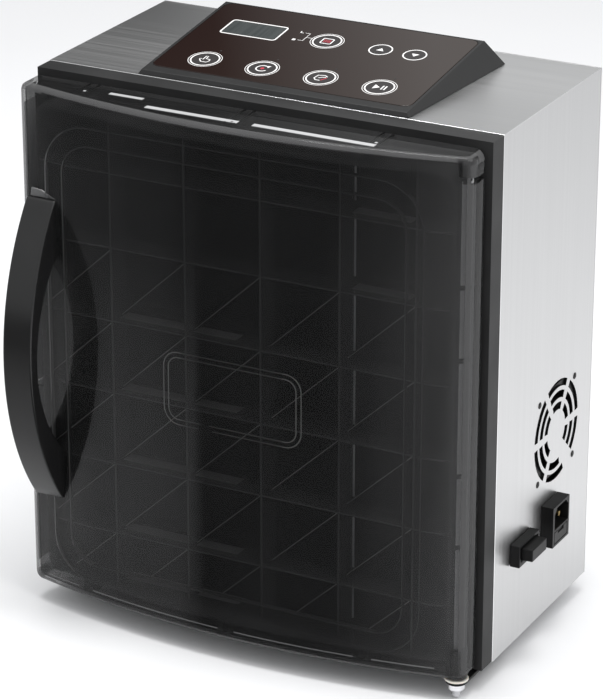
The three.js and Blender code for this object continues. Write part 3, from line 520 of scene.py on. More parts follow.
def spread(start, stop, steps):
    """Evenly spaced values from start to stop, both included."""
    return [start + (stop - start) * i / steps for i in range(steps + 1)]


def arc(centre, radius, start, stop, steps):
    """Points on an arc, between two angles in degrees."""
    angles = [math.radians(angle) for angle in spread(start, stop, steps)]
    return [(centre[0] + radius * math.cos(a), centre[1] + radius * math.sin(a)) for a in angles]


def circle(centre, radius, sides=48):
    """Corners of a regular polygon that stands for a circle."""
    return arc(centre, radius, 0, 360 * (sides - 1) / sides, sides - 1)


def rounded_rect(u, v, radius, steps=8, inset=0):
    """Rounded rectangle between two pairs of coordinates, or the one that lies an inset inside it."""
    (u0, u1), (v0, v1) = u, v
    corner = radius - inset
    return [
        *arc((u1 - radius, v0 + radius), corner, -90, 0, steps),
        *arc((u1 - radius, v1 - radius), corner, 0, 90, steps),
        *arc((u0 + radius, v1 - radius), corner, 90, 180, steps),
        *arc((u0 + radius, v0 + radius), corner, 180, 270, steps),
    ]


def frame_into(bm, outer, inner, y_at):
    """Adds the frame between two outlines in X and Z. y_at(x, end) says where its back and front lie."""
    section = ((outer, 0), (outer, 1), (inner, 1), (inner, 0))
    skin_into(bm, [[bm.verts.new(at(x, y_at(x, end), z)) for x, z in outline] for outline, end in section])


# ---------------------------------------------------------------- door cover


def front_y(x, inset=0.0):
    """How far forward the bowed front of the door stands at x, or a surface the given depth behind it."""
    radius = DOOR_CROWN_R - inset
    return DOOR_LOW.y + DOOR_CROWN_R - math.sqrt(radius**2 - (x - DOOR_CROWN_X) ** 2)


def behind_cover(x):
    """How far forward a rib inside the cover may stand at x."""
    return front_y(x, DOOR_WALL + RIB_CLEARANCE)


def cover_rounding(edge):
    """How round an edge of the cover is, as a share of the corner radius."""
    a, b = ((vert.co - ORIGIN) / MM for vert in edge.verts)
    if abs(a.z - b.z) > 1:
        at_end = min(a.x - DOOR_LOW.x, DOOR_HIGH.x - a.x) < 1
        return DOOR_EDGE_R / DOOR_CORNER_R if at_end and a.y < DOOR_HIGH.y - 10 else 0
    if min(a.y, b.y) > DOOR_HIGH.y - 5:
        return 0
    return 1 if abs(a.x - b.x) < 1 else DOOR_EDGE_R / DOOR_CORNER_R


def cover_tray():
    """Sharp-edged skin of the cover, open at the back, with a bevel weight on every edge to be rounded."""
    left, right, back = DOOR_LOW.x, DOOR_HIGH.x, DOOR_HIGH.y
    plan = [(right - 8, back), (right, back - 4.4)]
    plan += [(x, front_y(x)) for x in spread(right, left, COVER_STEPS)]
    plan += [(left, back)]
    bm = bmesh.new()
    low, high = [[bm.verts.new(at(x, y, z)) for x, y in plan] for z in (DOOR_LOW.z, DOOR_HIGH.z)]
    bm.faces.new(low)
    bm.faces.new(high[::-1])
    for i in range(len(plan) - 1):
        bm.faces.new([low[i], high[i], high[i + 1], low[i + 1]])
    weight = bm.edges.layers.float.new("bevel_weight_edge")
    for edge in bm.edges:
        edge[weight] = cover_rounding(edge)
    return from_bmesh("door_cover_shell", bm)


def cut_notch(obj):
    """Cuts the opening for the upper hinge arm out of the cover."""
    bm = bmesh.new()
    box_into(bm, (NOTCH_X, DOOR_HIGH.x + 5), (HINGE_Y - 5.7, 0), NOTCH_Z)
    cutter = from_bmesh("notch_cutter", bm)
    hole = obj.modifiers.new("hinge_notch", "BOOLEAN")
    hole.operation = "DIFFERENCE"
    hole.use_self = True
    hole.object = cutter
    settled(obj)
    bpy.data.objects.remove(cutter)


def cover_finish(normal):
    """Index of a face's material: 0 on front and walls, 1 on rounded edges in paler smoke as a painted
    highlight, 2 on the left front edge, paler still as a painted highlight.
    """
    if -0.75 < normal.x < -0.3 and abs(normal.z) < 0.1 and normal.y < -0.6:
        return 2
    return int(abs(normal.y) < 0.965 and abs(normal.x) < 0.985 and abs(normal.z) < 0.985)


def door_cover():
    """Smoked tray with a bowed front and rounded edges, open at the back, cut at the upper hinge arm."""
    obj = bevel(cover_tray(), DOOR_CORNER_R, 6, weighted=True)
    obj.modifiers.remove(obj.modifiers["even_shading"])
    shell = obj.modifiers.new("wall", "SOLIDIFY")
    shell.thickness = DOOR_WALL * MM
    shell.offset = -1
    shell.use_even_offset = True
    cut_notch(obj)
    dress(obj, COVER, DOOR, 25)
    # Rounded edges and the left front edge take paler smoke: painted highlights.
    obj.data.materials.append(COVER_EDGE_HIGHLIGHT)
    obj.data.materials.append(COVER_BAND_HIGHLIGHT)
    for polygon in obj.data.polygons:
        polygon.material_index = cover_finish(polygon.normal)
    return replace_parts(obj, "door_cover")


def hinge_barrel(name, low, high):
    """Clear barrel round a hinge bush, in the corner of the cover."""
    outer, inner, chamfer = 8.4, 5.3, 0.6
    profile = [
        (inner, low),
        (outer - chamfer, low),
        (outer, low + chamfer),
        (outer, high - chamfer),
        (outer - chamfer, high),
        (inner, high),
    ]
    bm = bmesh.new()
    centre = (HINGE_X, HINGE_Y)
    skin_into(bm, [[bm.verts.new(at(x, y, z)) for x, y in circle(centre, radius)] for radius, z in profile])
    return dress(from_bmesh(name, bm), COVER, DOOR)


def badge_frame(name, grow, width):
    """Moulded line on the front, in the shape of a rounded rectangle."""
    x, z = ((low - grow, high + grow) for low, high in (BADGE_X, BADGE_Z))
    outer, inner = (rounded_rect(x, z, BADGE_CORNER_R + grow, inset=inset) for inset in (0, width))
    bm = bmesh.new()
    frame_into(bm, outer, inner, lambda x, end: front_y(x) + (0.35, -0.15)[end])
    return dress(from_bmesh(name, bm), LINE, DOOR)


# ---------------------------------------------------------------- door panel and its ribs


def door_plate():
    """Back plate of the door, with its edges rounded."""
    gap = DOOR_WALL + 0.3
    x = (DOOR_LOW.x + gap, DOOR_HIGH.x - gap - 5)
    z = (DOOR_LOW.z + gap, DOOR_HIGH.z - gap)
    bm = bmesh.new()
    prism_into(bm, rounded_rect(x, z, 8), lambda p, end: at(p[0], (PLATE_FRONT, DOOR_HIGH.y)[end], p[1]))
    obj = bevel(from_bmesh("door_plate", bm), 0.5)
    dress(obj, PLATE, DOOR)
    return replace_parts(obj, "door_panel")


def divided(outline, step):
    """An outline with its level lines divided into parts of about the given length."""
    points = []
    for (xa, za), (xb, zb) in zip(outline, outline[1:] + outline[:1]):
        parts = max(1, round(abs(xb - xa) / step))
        points += [(xa + (xb - xa) * k / parts, za + (zb - za) * k / parts) for k in range(parts)]
    return points


def ring_wall(name, inset, thickness, corner):
    """Wall that follows the cover's outline and reaches from the plate to the bowed front."""
    x = (DOOR_LOW.x + inset, DOOR_HIGH.x - inset)
    z = (DOOR_LOW.z + inset, DOOR_HIGH.z - inset)
    outer, inner = (divided(rounded_rect(x, z, corner, 10, depth), 12) for depth in (0, thickness))
    bm = bmesh.new()
    frame_into(bm, outer, inner, lambda x, end: behind_cover(x) if end else PLATE_FRONT)
    return dress(from_bmesh(name, bm), RIB, DOOR)


def ridge(name, x, z, corner, width):
    """Moulded ridge in the shape of a rounded rectangle, at one depth."""
    outer, inner = (rounded_rect(x, z, corner, 10, inset) for inset in (0, width))
    bm = bmesh.new()
    frame_into(bm, outer, inner, lambda x, end: RIDGE_Y[1 - end])
    return dress(from_bmesh(name, bm), RIB_EDGE, DOOR)


def row_heights():
    """Heights of the level ribs, which divide the door into equal rows."""
    return spread(DOOR_LOW.z, DOOR_HIGH.z, RIB_ROWS)[1:-1]


def rib_front(x):
    """Front edge of the waffle at x: straight, or held back by the cover's bowed front."""
    return max(RIB_FRONT, behind_cover(x))


def waffle_columns():
    """Upright ribs of the waffle."""
    bm = bmesh.new()
    for x in RIB_COLUMNS:
        box_into(bm, (x - 1, x + 1), (rib_front(x), PLATE_FRONT), (DOOR_LOW.z + 15, DOOR_HIGH.z - 15))
    return dress(bevel(from_bmesh("waffle_columns", bm), 0.4), RIB, DOOR)


def waffle_rows():
    """Level ribs of the waffle."""
    bm = bmesh.new()
    places = spread(DOOR_LOW.x + 15, DOOR_HIGH.x - 15, 24)
    outline = [(places[0], PLATE_FRONT), *((x, rib_front(x)) for x in places), (places[-1], PLATE_FRONT)]
    for z in row_heights():
        prism_into(bm, outline, lambda p, end: at(*p, z + (1, -1)[end]))
    return dress(bevel(from_bmesh("waffle_rows", bm), 0.4), RIB, DOOR)


def waffle_edge_highlights():
    """Front edges of the upright and level ribs, a little paler than the ribs: a painted highlight."""
    thickness = 0.3
    bm = bmesh.new()
    for x in RIB_COLUMNS:
        front = rib_front(x)
        box_into(bm, (x - 0.8, x + 0.8), (front - thickness, front), (DOOR_LOW.z + 16, DOOR_HIGH.z - 16))
    places = spread(DOOR_LOW.x + 16, DOOR_HIGH.x - 16, 24)
    outline = [(x, rib_front(x) - thickness) for x in places] + [(x, rib_front(x)) for x in places[::-1]]
    for z in row_heights():
        prism_into(bm, outline, lambda p, end: at(*p, z + (0.5, -0.5)[end]))
    return dress(from_bmesh("waffle_edge_highlights", bm), RIB_EDGE, DOOR)


def brace_lines():
    """Ends of the braces that run up to the right across each cell of the lower rows."""
    posts = [DOOR_LOW.x + RING_INSET + 3, *RIB_COLUMNS]
    bottom = DOOR_LOW.z + RING_INSET + 3
    for top in row_heights()[:BRACED_ROWS]:
        for left, right in zip(posts, posts[1:]):
            low = top - (right - left) * BRACE_SLOPE
            if low < bottom:
                left += (bottom - low) / BRACE_SLOPE
                low = bottom
            yield (left + 1, low + 1), (right - 1, top - 1)


def waffle_braces():
    """The braces, each with a painted highlight along its front edge."""
    braces, edges = bmesh.new(), bmesh.new()
    layers = ((braces, 0.8, (BRACE_FRONT, PLATE_FRONT)), (edges, 0.35, (BRACE_FRONT - 0.3, BRACE_FRONT)))
    for (x0, z0), (x1, z1) in brace_lines():
        for bm, half, y in layers:
            outline = [(x0, z0 - half), (x1, z1 - half), (x1, z1 + half), (x0, z0 + half)]
            prism_into(bm, outline, lambda p, end: at(p[0], y[end], p[1]))
    dress(from_bmesh("waffle_braces", braces), RIB, DOOR)
    dress(from_bmesh("brace_edge_highlights", edges), RIB_HIGHLIGHT, DOOR)


def row_top_highlights():
    """Painted highlights: pale strips on the top faces of the level ribs, where they catch the light."""
    depth = (-35, -24)
    lower = [DOOR_LOW.z + 16, *row_heights()[:4]]
    bm = bmesh.new()
    for z in lower:
        for x in ((RIB_COLUMNS[0] + 3, RIB_COLUMNS[1] - 2), (RIB_COLUMNS[1] + 3, 174)):
            box_into(bm, x, depth, (z + 1, z + 1.2))
    for z in row_heights()[4:]:
        box_into(bm, (RIB_COLUMNS[3] + 6, 314), depth, (z + 1, z + 1.2))
    return dress(from_bmesh("row_top_highlights", bm), RIB_HIGHLIGHT, DOOR)


def root_highlight():
    """Painted highlight at the root of one upright rib, as a pale fillet broken at the level ribs."""
    x = (RIB_COLUMNS[3] + 1, RIB_COLUMNS[3] + 2.6)
    edges = [DOOR_LOW.z + 16, *row_heights(), DOOR_HIGH.z - 16]
    bm = bmesh.new()
    for low, high in zip(edges, edges[1:]):
        box_into(bm, x, (PLATE_FRONT - 1.2, PLATE_FRONT), (low + 5, high - 6))
    return dress(bevel(from_bmesh("root_highlight", bm), 0.5), EDGE_GLINT, DOOR)


def top_highlights():
    """Painted highlights on the cover's top wall: pale strips, and a dot between the gussets of each pair.
    """
    z = (DOOR_HIGH.z - 0.5, DOOR_HIGH.z + 0.15)
    bm = bmesh.new()
    for x in ((108, 183), (195, 291)):
        box_into(bm, x, (-48.5, -43.5), z)
    box_into(bm, (70, 98), (-34, -30), z)
    for x in GUSSET_PAIRS_X:
        start = front_y(x) + 13.5
        box_into(bm, (x - 0.2, x + 2), (start, start + 2), z)
    return dress(bevel(from_bmesh("top_highlights", bm), 0.2), TOP_WALL_HIGHLIGHT, DOOR)


def gusset_lines():
    """Dark lines on the cover's top wall, where the gussets below meet it."""
    z = (DOOR_HIGH.z - 0.5, DOOR_HIGH.z + 0.12)
    bm = bmesh.new()
    for x in GUSSET_PAIRS_X:
        for side in GUSSET_SIDES:
            box_into(bm, (x + side, x + side + 1.4), (front_y(x) + 13, -8), z)
    return dress(bevel(from_bmesh("gusset_lines", bm), 0.1), DARK_LINE, DOOR)


def corner_highlights():
    """Painted highlights: pale fillets inside the cover's upright front edges, broken at the gussets."""
    edges = [DOOR_LOW.z + 14, *GUSSETS_Z, DOOR_HIGH.z - 14]
    left, right = DOOR_LOW.x + DOOR_WALL, DOOR_HIGH.x - DOOR_WALL
    start, corner = (front_y(x, DOOR_WALL) for x in (right - 6.5, right))
    fillet = [
        (right - 6.5, start),
        (right - 0.2, corner + 3.5),
        (right - 0.8, corner + 4.5),
        (right - 6.5, start + 1.2),
    ]
    bm = bmesh.new()
    for low, high in zip(edges, edges[1:]):
        prism_into(bm, fillet, lambda p, end: at(*p, (low + 2, high - 2)[end]))
        box_into(bm, (left + 0.2, left + 0.8), (-36, PLATE_FRONT), (low + 2, high - 2))
    return dress(from_bmesh("corner_highlights", bm), EDGE_GLINT, DOOR)


def lower_highlight():
    """Painted highlight: a pale line along the foot of the bowed front, broken at the gussets."""
    ends = [DOOR_LOW.x + 16]
    for x in GUSSET_PAIRS_X:
        ends += [x - 7, x + 7]
    ends.append(DOOR_HIGH.x - 22)
    bm = bmesh.new()
    for start, stop in zip(ends[::2], ends[1::2]):
        places = spread(start, stop, 12)
        outline = [(x, front_y(x) - 0.1) for x in places] + [(x, front_y(x) + 0.3) for x in places[::-1]]
        prism_into(bm, outline, lambda p, end: at(*p, DOOR_LOW.z + (9.2, 8.2)[end]))
    return dress(from_bmesh("lower_highlight", bm), FOOT_HIGHLIGHT, DOOR)


def handle_lug():
    """Pale clear lug of the cover over the handle's upper end, lower towards the middle of the door."""
    left, right = HANDLE_X
    foot = HANDLE_Z + HANDLE_HALF + HANDLE_PAD
    outline = [(left + 2, foot), (right - 1, foot), (left + 12, foot + 6), (left + 3, foot + 7)]
    depth = (front_y((left + right) / 2) + 0.5, HANDLE_FOOT_Y + 6)
    bm = bmesh.new()
    prism_into(bm, outline, lambda p, end: at(p[0], depth[end], p[1]))
    return dress(bevel(from_bmesh("handle_lug", bm), 1.2, 3), LUG, DOOR)


def edge_gussets():
    """Short ribs from the ring wall to the cover's rim, in pairs at the top and bottom."""
    rims_x, rims_z = (
        ((low + DOOR_WALL + 0.4, low + RING_INSET), (high - RING_INSET, high - DOOR_WALL - 0.4))
        for low, high in ((DOOR_LOW.x, DOOR_HIGH.x), (DOOR_LOW.z, DOOR_HIGH.z))
    )
    bm = bmesh.new()
    for x in GUSSET_PAIRS_X:
        for z in rims_z:
            for side in GUSSET_SIDES:
                box_into(bm, (x + side, x + side + 1.6), (behind_cover(x), PLATE_FRONT), z)
    for z in GUSSETS_Z:
        for x in rims_x:
            box_into(bm, x, (behind_cover(x[0]), PLATE_FRONT), (z - 0.8, z + 0.8))
    return dress(bevel(from_bmesh("edge_gussets", bm), 0.3), RIB, DOOR)


# ---------------------------------------------------------------- handle


def handle():
    """Bow handle with a curved grip, its side faces flat and its long edges rounded."""
    outer_r = (HANDLE_HALF**2 + HANDLE_RISE**2) / (2 * HANDLE_RISE)
    outer_y = HANDLE_FOOT_Y - HANDLE_RISE + outer_r
    outer_half = math.degrees(math.asin(HANDLE_HALF / outer_r))
    base = front_y(sum(HANDLE_X) / 2) - 0.4
    inner_y = GRIP_INNER_Y + GRIP_INNER_R
    inner_half = math.degrees(math.acos((inner_y - base) / GRIP_INNER_R))
    low, high = (HANDLE_Z + side * (HANDLE_HALF + HANDLE_PAD) for side in (-1, 1))
    outline = [(base, high), (HANDLE_FOOT_Y + 4, high)]
    outline += arc((outer_y, HANDLE_Z), outer_r, 180 - outer_half, 180 + outer_half, 48)
    outline += [(HANDLE_FOOT_Y + 4, low), (base, low)]
    outline += arc((inner_y, HANDLE_Z), GRIP_INNER_R, 180 + inner_half, 180 - inner_half, 40)
    bm = bmesh.new()
    prism_into(bm, outline, lambda p, end: at(HANDLE_X[end], p[0], p[1]))
    obj = bevel(from_bmesh("handle_grip", bm), 2.2, 4, 50)
    dress(obj, HANDLE, DOOR)
    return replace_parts(obj, "handle_bow")


# ---------------------------------------------------------------- control head


def on_glass(u, v, lift=0.0):
    """A place on the touch glass: u to the right and v up the slope from its middle."""
    rise = v * math.sin(GLASS_SLOPE) + lift * math.cos(GLASS_SLOPE)
    back = v * math.cos(GLASS_SLOPE) - lift * math.sin(GLASS_SLOPE)
    height = GLASS_TOP_Z + math.tan(GLASS_SLOPE) * GLASS_Y
    return at(GLASS_X + u, GLASS_Y + back, height + rise)


def stroke_into(bm, path, width, closed=False):
    """Adds a printed line of even width along a path on the glass."""
    points = [Vector(point) for point in path]
    count = len(points)
    sides = []
    for i, point in enumerate(points):
        before = points[i - 1] if i > 0 or closed else point
        after = points[(i + 1) % count] if i < count - 1 or closed else point
        along = (after - before).normalized()
        side = Vector((-along.y, along.x)) * width / 2
        sides.append((point + side, point - side))
    for i in range(count if closed else count - 1):
        (a, b), (c, d) = sides[i], sides[(i + 1) % count]
        fill_into(bm, [a, b, d, c])


def fill_into(bm, outline, lift=PRINT_LIFT):
    """Adds a printed area on the glass."""
    prism_into(bm, [tuple(p) for p in outline], lambda p, end: on_glass(*p, (0.01, lift)[end]))


def ring_into(bm, centre, radius, width):
    """Adds a printed ring on the glass."""
    stroke_into(bm, circle(centre, radius), width, closed=True)


def shifted(centre, points, scale=1.0):
    """Points round a centre, from their offsets."""
    return [(centre[0] + u * scale, centre[1] + v * scale) for u, v in points]


def hand_icon(white, middle):
    """Pointing hand, drawn as an outline."""
    wrist = [(-1.2, -3.6), (-3.4, -0.6), (-2.8, 0.4), (-1.2, -0.6)]
    fingers = [(-1.2, 4), (0.2, 4), (0.3, 0.8), (3.2, 0.2), (3.4, -2), (2.4, -3.6)]
    stroke_into(white, shifted(middle, wrist + fingers, 1.25), 0.8, closed=True)


def turn_icon(white, red, middle):
    """Arrow that runs round a dot."""
    stroke_into(white, arc(middle, 4.6, 60, 330, 24), 1.0)
    fill_into(white, shifted(middle, [(1.2, 4.8), (5.0, 5.2), (3.6, 1.8)]))
    fill_into(red, circle(middle, 1.5, 16))


def bag_icon(white, red, middle):
    """Bag with a seal line."""
    bag = [(4.2, 2.6), (1.5, 4.4), (-3.6, 3.4), (-4.6, -1.6), (-2.4, -4.2), (1.2, -4.2)]
    stroke_into(white, shifted(middle, bag), 0.9)
    stroke_into(red, shifted(middle, [(1.6, -3.6), (4.4, 0.8)]), 1.0)
    stroke_into(white, shifted(middle, [(-1.6, -0.6), (1.2, 1.4), (3.6, 1.4)]), 0.8)


def play_icon(white, middle):
    """Triangle and two bars."""
    fill_into(white, shifted(middle, [(-4.6, -3.4), (0.2, 0), (-4.6, 3.4)]))
    for u in (1.6, 4.0):
        fill_into(white, shifted(middle, [(u, -3.2), (u + 1.1, -3.2), (u + 1.1, 3.2), (u, 3.2)]))


def mode_icon(white, red, middle):
    """Box round two upright slots."""
    box = rounded_rect((-4.2, 4.2), (-4.2, 4.2), 1, 3)
    stroke_into(white, shifted(middle, box), 0.9, closed=True)
    for u in (-2.4, 0.8):
        slot = [(u, -2.2), (u, 2.2), (u + 1.6, 2.2), (u + 1.6, -2.2)]
        stroke_into(red, shifted(middle, slot), 0.7, closed=True)


def branch_icon(white):
    """Two small marks joined to the mode button by a forked line."""
    stroke_into(white, [(-14, 22), (-19, 22), (-19, 29), (-23, 29)], 0.5)
    stroke_into(white, [(-19, 22), (-19, 16), (-23, 16)], 0.5)
    stroke_into(white, [(-27, 31), (-27, 28.5), (-24.5, 28.5)], 0.8)
    fill_into(white, [(-27.5, 14.6), (-25, 14.6), (-25, 17.2), (-27.5, 17.2)])


def button_print(white, dark):
    """Rings and dark faces of the round buttons, the dots above them and the arrows."""
    for button in [*FRONT_BUTTONS, MODE_BUTTON]:
        fill_into(dark, circle(button, 10.6), PRINT_LIFT / 2)
        ring_into(white, button, 12.6, 0.5)
        ring_into(white, button, 10.7, 1.1)
        fill_into(dark, circle((button[0] + 4, button[1] + 17), 0.8, 12))
    for button, turn in zip(ARROW_BUTTONS, (1, -1)):
        fill_into(dark, circle(button, 8.4), PRINT_LIFT / 2)
        ring_into(white, button, 8.6, 1.0)
        fill_into(white, shifted(button, [(-3, -1.8 * turn), (3, -1.8 * turn), (0, 2.6 * turn)][::turn]))


def panel_print():
    """White, red and dark print on the touch glass."""
    white, red, dark = bmesh.new(), bmesh.new(), bmesh.new()
    button_print(white, dark)
    hand_icon(white, FRONT_BUTTONS[0])
    turn_icon(white, red, FRONT_BUTTONS[1])
    bag_icon(white, red, FRONT_BUTTONS[2])
    play_icon(white, FRONT_BUTTONS[3])
    mode_icon(white, red, MODE_BUTTON)
    branch_icon(white)
    stroke_into(white, rounded_rect(WINDOW_U, WINDOW_V, 2.5, 5), 1.2, closed=True)
    dress(from_bmesh("print_white", white), WHITE_PRINT, CABINET)
    dress(from_bmesh("print_red", red), RED_PRINT, CABINET)
    dress(from_bmesh("print_dark", dark), DARK_PRINT, CABINET)


def display_window():
    """Face of the display, inside the printed frame."""
    bm = bmesh.new()
    fill_into(bm, rounded_rect(WINDOW_U, WINDOW_V, 2.5, 4, 1), 0.05)
    return dress(from_bmesh("display_window", bm), DISPLAY, CABINET)


# ---------------------------------------------------------------- small fittings


def screw(name, centre, axis, head_r, height, material):
    """Domed screw head with a cross recess, standing on the face whose outward axis is given."""
    outward = Vector(axis)
    side = outward.orthogonal().normalized()
    other = outward.cross(side)
    bm = bmesh.new()

    def corner(i, reach, lift):
        angle = math.tau * i / SCREW_SIDES
        around = side * math.cos(angle) + other * math.sin(angle)
        return bm.verts.new(centre + (around * reach * head_r + outward * lift * height) * MM)

    rings = [[corner(i, *step) for i in range(SCREW_SIDES)] for step in SCREW_DOME]
    recess = [SCREW_CROSS if i % 6 in (0, 1, 5) else SCREW_LAND for i in range(SCREW_SIDES)]
    rings.append([corner(i, *step) for i, step in enumerate(recess)])
    skin_into(bm, rings, closed=False)
    bm.faces.new(rings[-1])
    bm.faces.new(rings[0][::-1])
    return dress(from_bmesh(name, bm), material, CABINET)


def finish_edges(casing):
    """Paler, smoother steel on the rounded edges along the casing's top and front as a painted highlight,
    and black on the cut walls of the fan's slots as painted shade.
    """
    casing.data.materials.append(STEEL_EDGE_HIGHLIGHT)
    casing.data.materials.append(BLACK)
    fan_low, fan_high = span("fan_frame")
    middle = (fan_low + fan_high) / 2
    for polygon in casing.data.polygons:
        place = (polygon.center - ORIGIN) / MM
        rounded = max(abs(part) for part in polygon.normal) < 0.98
        # Painted highlight: the top and front rounded edges take paler, smoother steel.
        if rounded and (place.z > CASE_H - 3 or place.y < 3):
            polygon.material_index = 1
        # Painted shade: the cut walls of the slots round the fan turn black.
        elif place.x > CASE_W - 4 and (place - middle).yz.length < VENT_R and abs(polygon.normal.x) < 0.9:
            polygon.material_index = 2


def back_screws():
    """Screws round the edge of the rear sheet."""
    back = span("back_panel")[1].y
    places = [(x, z) for x in (8, CASE_W - 8) for z in (12, 140, 270, CASE_H - 12)]
    places += [(CASE_W / 2, 12), (CASE_W / 2, CASE_H - 12)]
    for i, (x, z) in enumerate(places):
        screw(f"back_screw_{i + 1}", at(x, back, z), (0, 1, 0), 3.4, 1.1, CHROME)


def vent_screws():
    """Flush black screws at the corners of the fan vent."""
    for i in range(1, 5):
        low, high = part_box(f"fan_screw_{i}")
        centre = Vector((ORIGIN.x + (CASE_W + 0.05) * MM, (low.y + high.y) / 2, (low.z + high.z) / 2))
        obj = screw(f"vent_screw_{i}", centre, (1, 0, 0), 2.6, 0.5, BLACK)
        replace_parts(obj, f"fan_screw_{i}")


# ---------------------------------------------------------------- the object


def make_cabinet():
    """Casing, panels, head with its print, feet and boards."""
    finish_edges(settled(softened("casing_wrap", 1.6, STEEL, 0.25, 100)))
    softened("back_panel", 0.4, STEEL, 0.5)
    softened("base_panel", 0.4, ZINC, 0.5)
    softened("front_bezel", 0.7, BEZEL, 0.4)
    softened("head_housing", 1.4, HEAD, 0.2)
    softened("touch_glass", 0.3, GLASS, 1.0)
    for foot in ("front_left", "front_right", "back_left", "back_right"):
        softened(f"foot_{foot}", 0.6, RUBBER, 1.0)
    panel_print()
    display_window()
    paint(DISPLAY, "display_module")
    paint(BOARD, "control_board", "power_board")


def make_chamber():
    """Vacuum chamber with its gasket and seal bar."""
    softened("chamber_tub", 0.4, TUB_STEEL, 0.5)
    softened("chamber_gasket", 0.6, SILICONE, 1.0)
    softened("seal_bar", 0.7, ALUMINIUM, 0.6)
    softened("heating_strip", 0.2, ALLOY, 1.0)
    for side in ("left", "right"):
        softened(f"seal_cylinder_{side}", 0.6, ALUMINIUM, 1.0)
        softened(f"seal_rod_{side}", 0.3, CHROME, 1.0)


def make_door():
    """Door with its cover, panel, waffle, handle and bushes."""
    door_cover()
    hinge_barrel("hinge_barrel_lower", 1.4, 26)
    hinge_barrel("hinge_barrel_upper", 389.6, 402.6)
    badge_frame("badge_line_outer", 4, 0.9)
    badge_frame("badge_line_inner", 0, 0.9)
    door_plate()
    ring_wall("ring_wall_outer", RING_INSET, 2.4, 14)
    ridge("ridge_outer", (20, 329), (12, 379), 36, 1)
    ridge("ridge_inner", (34, 315), (26, 365), 24, 1)
    waffle_columns()
    waffle_rows()
    waffle_edge_highlights()
    waffle_braces()
    row_top_highlights()
    root_highlight()
    top_highlights()
    gusset_lines()
    lower_highlight()
    handle_lug()
    corner_highlights()
    edge_gussets()
    handle()
    softened("counter_strip", 0.6, SILICONE, 1.0)
    for bush in ("lower_door_bush", "upper_door_bush"):
        softened(bush, 0.3, BLACK, 1.0)


def make_hinge():
    """Fixed half of the door's two hinges."""
    for place, finish in (("lower", CHROME), ("upper", BLACK)):
        softened(f"{place}_hinge_plate", 0.4, BLACK, 1.0)
        softened(f"{place}_hinge_pin", 0.4, finish, 1.0)
    softened("hinge_washer", 0.3, NYLON, 1.0)


def make_machine_bay():
    """Pump, valves, hoses and transformer."""
    paint(CORE, "transformer")
    paint(ZINC, "pump_bracket")
    paint(ALUMINIUM, "pump_motor", "pump_head")
    paint(BLACK, "pump_fan", "suction_valve", "vent_valve", "door_microswitch")
    paint(BRASS, "chamber_port")
    paint(SILICONE, "suction_hose", "vent_hose")
    paint(NYLON, "switch_plunger")


def make_side_fittings():
    """Fan, mains inlet, fuse drawer, rocker switch and screws."""
    softened("fan_frame", 0.5, BLACK, 0.6)
    softened("fan_rotor", 0.4, BLACK, 0.6)
    vent_screws()
    softened("inlet_body", 0.8, BLACK, 1.0, 5)
    for pin in ("line", "neutral", "earth"):
        softened(f"inlet_pin_{pin}", 0.3, BRASS, 1.0)
    softened("fuse_drawer", 0.5, BLACK, 1.0)
    softened("fuse", 0.2, CHROME, 1.0)
    softened("switch_frame", 0.7, BLACK, 1.0)
    softened("switch_rocker", 0.7, BLACK, 1.0)
    back_screws()


# ---------------------------------------------------------------- stage, lights and camera


def make_floor():
    """Floor of the studio."""
    reach = 6
    bm = bmesh.new()
    bm.faces.new([bm.verts.new((reach * x, reach * y, 0)) for x, y in ((-1, -1), (1, -1), (1, 1), (-1, 1))])
    floor = from_bmesh("floor", bm)
    floor.data.materials.append(FLOOR)
    floor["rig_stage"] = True


def towards(azimuth, elevation):
    """Unit vector from the object towards a viewer at the given angles, in degrees."""
    a, e = math.radians(azimuth), math.radians(elevation)
    return Vector((math.sin(a) * math.cos(e), -math.cos(a) * math.cos(e), math.sin(e)))


def mirrored_on_floor(x, z):
    """Where the camera's line of sight, mirrored in the door's bowed front at (x, z), reaches the floor."""
    aside = x - DOOR_CROWN_X
    normal = Vector((aside, -math.sqrt(DOOR_CROWN_R**2 - aside**2), 0)).normalized()
    camera = CAMERA_TARGET + towards(CAMERA_AZIMUTH, CAMERA_ELEVATION) * CAMERA_DISTANCE
    point = at(x, front_y(x), z)
    ray = (point - camera).reflect(normal)
    return point - ray * (point.z / ray.z)


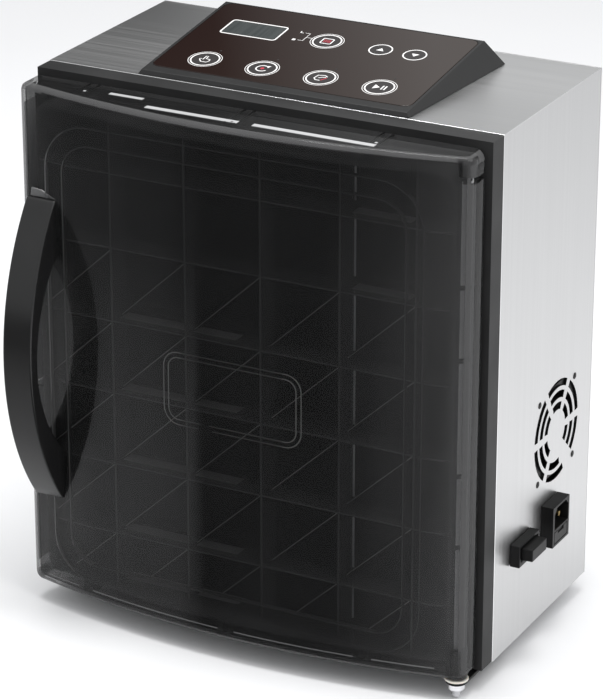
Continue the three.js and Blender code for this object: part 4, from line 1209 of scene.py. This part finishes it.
def dark_card(name, rows):
    """Black card that shows only in reflections. Each row lists points, each with how dark it is there."""
    bm = bmesh.new()
    shade = bm.verts.layers.float.new("shade")
    grid = []
    for row in rows:
        grid.append([bm.verts.new(point) for point, dark in row])
        for vert, (point, dark) in zip(grid[-1], row):
            vert[shade] = dark
    for low, high in zip(grid, grid[1:]):
        for i in range(len(low) - 1):
            bm.faces.new([low[i], low[i + 1], high[i + 1], high[i]])
    card = from_bmesh(name, bm)
    shader = Shader(name, Roughness=1.0, Specular_IOR_Level=0.0, Base_Color=(0, 0, 0, 1))
    darkness = shader.node("ShaderNodeAttribute")
    darkness.attribute_name = "shade"
    shader.feed(shader.bsdf.inputs["Alpha"], darkness.outputs["Fac"])
    card.data.materials.append(shader.material)
    card.visible_camera = False
    card.visible_diffuse = False
    card.visible_transmission = False
    card.visible_shadow = False
    card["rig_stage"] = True


def door_card():
    """Dark card on the floor that the door's front reflects, paler at its sides and at the lower left."""
    places = (-10, 60, 130, 158, 255, 300, 352)
    at_foot = (0, 0.35, 0.5, 1, 1, 0.72, 0)
    above = (0.5, 0.75, 0.87, 1, 1, 0.72, 0)
    lift = Vector((0, 0, 0.002))
    rows = []
    for z, shades in ((-10, at_foot), (360, above), (900, above)):
        rows.append([(mirrored_on_floor(x, z) + lift, dark) for x, dark in zip(places, shades)])
    dark_card("door_card", rows)


def top_card():
    """Dark card behind the machine that the touch glass and the left of the casing's top reflect."""
    back = 0.86
    columns = ((-1.6, 0.92), (-0.62, 0.92), (-0.36, 0))
    dark_card("top_card", [[(Vector((x, back, z)), dark) for x, dark in columns] for z in (0.35, 1.7)])


def aim(obj, azimuth, elevation, distance):
    """Puts a lamp or camera at a distance from the camera's target, and turns it to face the target."""
    back = towards(azimuth, elevation)
    obj.location = CAMERA_TARGET + back * distance
    obj.rotation_mode = "QUATERNION"
    obj.rotation_quaternion = (-back).to_track_quat("-Z", "Y")


def area_light(name, azimuth, elevation, distance, size, power):
    """Rectangular lamp that faces the camera's target, with its size in metres and its power in watts."""
    light = bpy.data.lights.new(name, "AREA")
    light.shape = "RECTANGLE"
    light.size, light.size_y = size
    light.energy = power
    aim(new_object(name, light), azimuth, elevation, distance)


def make_lights():
    """Even world, a large key light, a top light and a faint rim light."""
    world = bpy.data.worlds.new("studio")
    world.use_nodes = True
    background = world.node_tree.nodes["Background"]
    background.inputs["Color"].default_value = (0.95, 0.96, 0.97, 1)
    background.inputs["Strength"].default_value = 0.75
    bpy.context.scene.world = world
    area_light("key_light", 75, 50, 2.2, (1.4, 1.4), 17)
    area_light("top_light", 10, 85, 1.8, (1.2, 0.5), 27)
    area_light("rim_light", -48, 55, 2.2, (0.6, 0.6), 1.0)


def make_camera():
    """Long lens, from the front right and a little above."""
    camera = bpy.data.cameras.new("camera")
    camera.sensor_width = 36
    camera.lens = CAMERA_LENS
    obj = new_object("camera", camera)
    aim(obj, CAMERA_AZIMUTH, CAMERA_ELEVATION, CAMERA_DISTANCE)
    bpy.context.scene.camera = obj


make_cabinet()
make_chamber()
make_door()
make_hinge()
make_machine_bay()
make_side_fittings()
make_floor()
door_card()
top_card()
make_lights()
make_camera()
bpy.context.scene.view_settings.view_transform = "Standard"

boxes = {"cad": cad_box, "visual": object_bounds()}
{name: [list(corner) for corner in corners] for name, corners in boxes.items()}
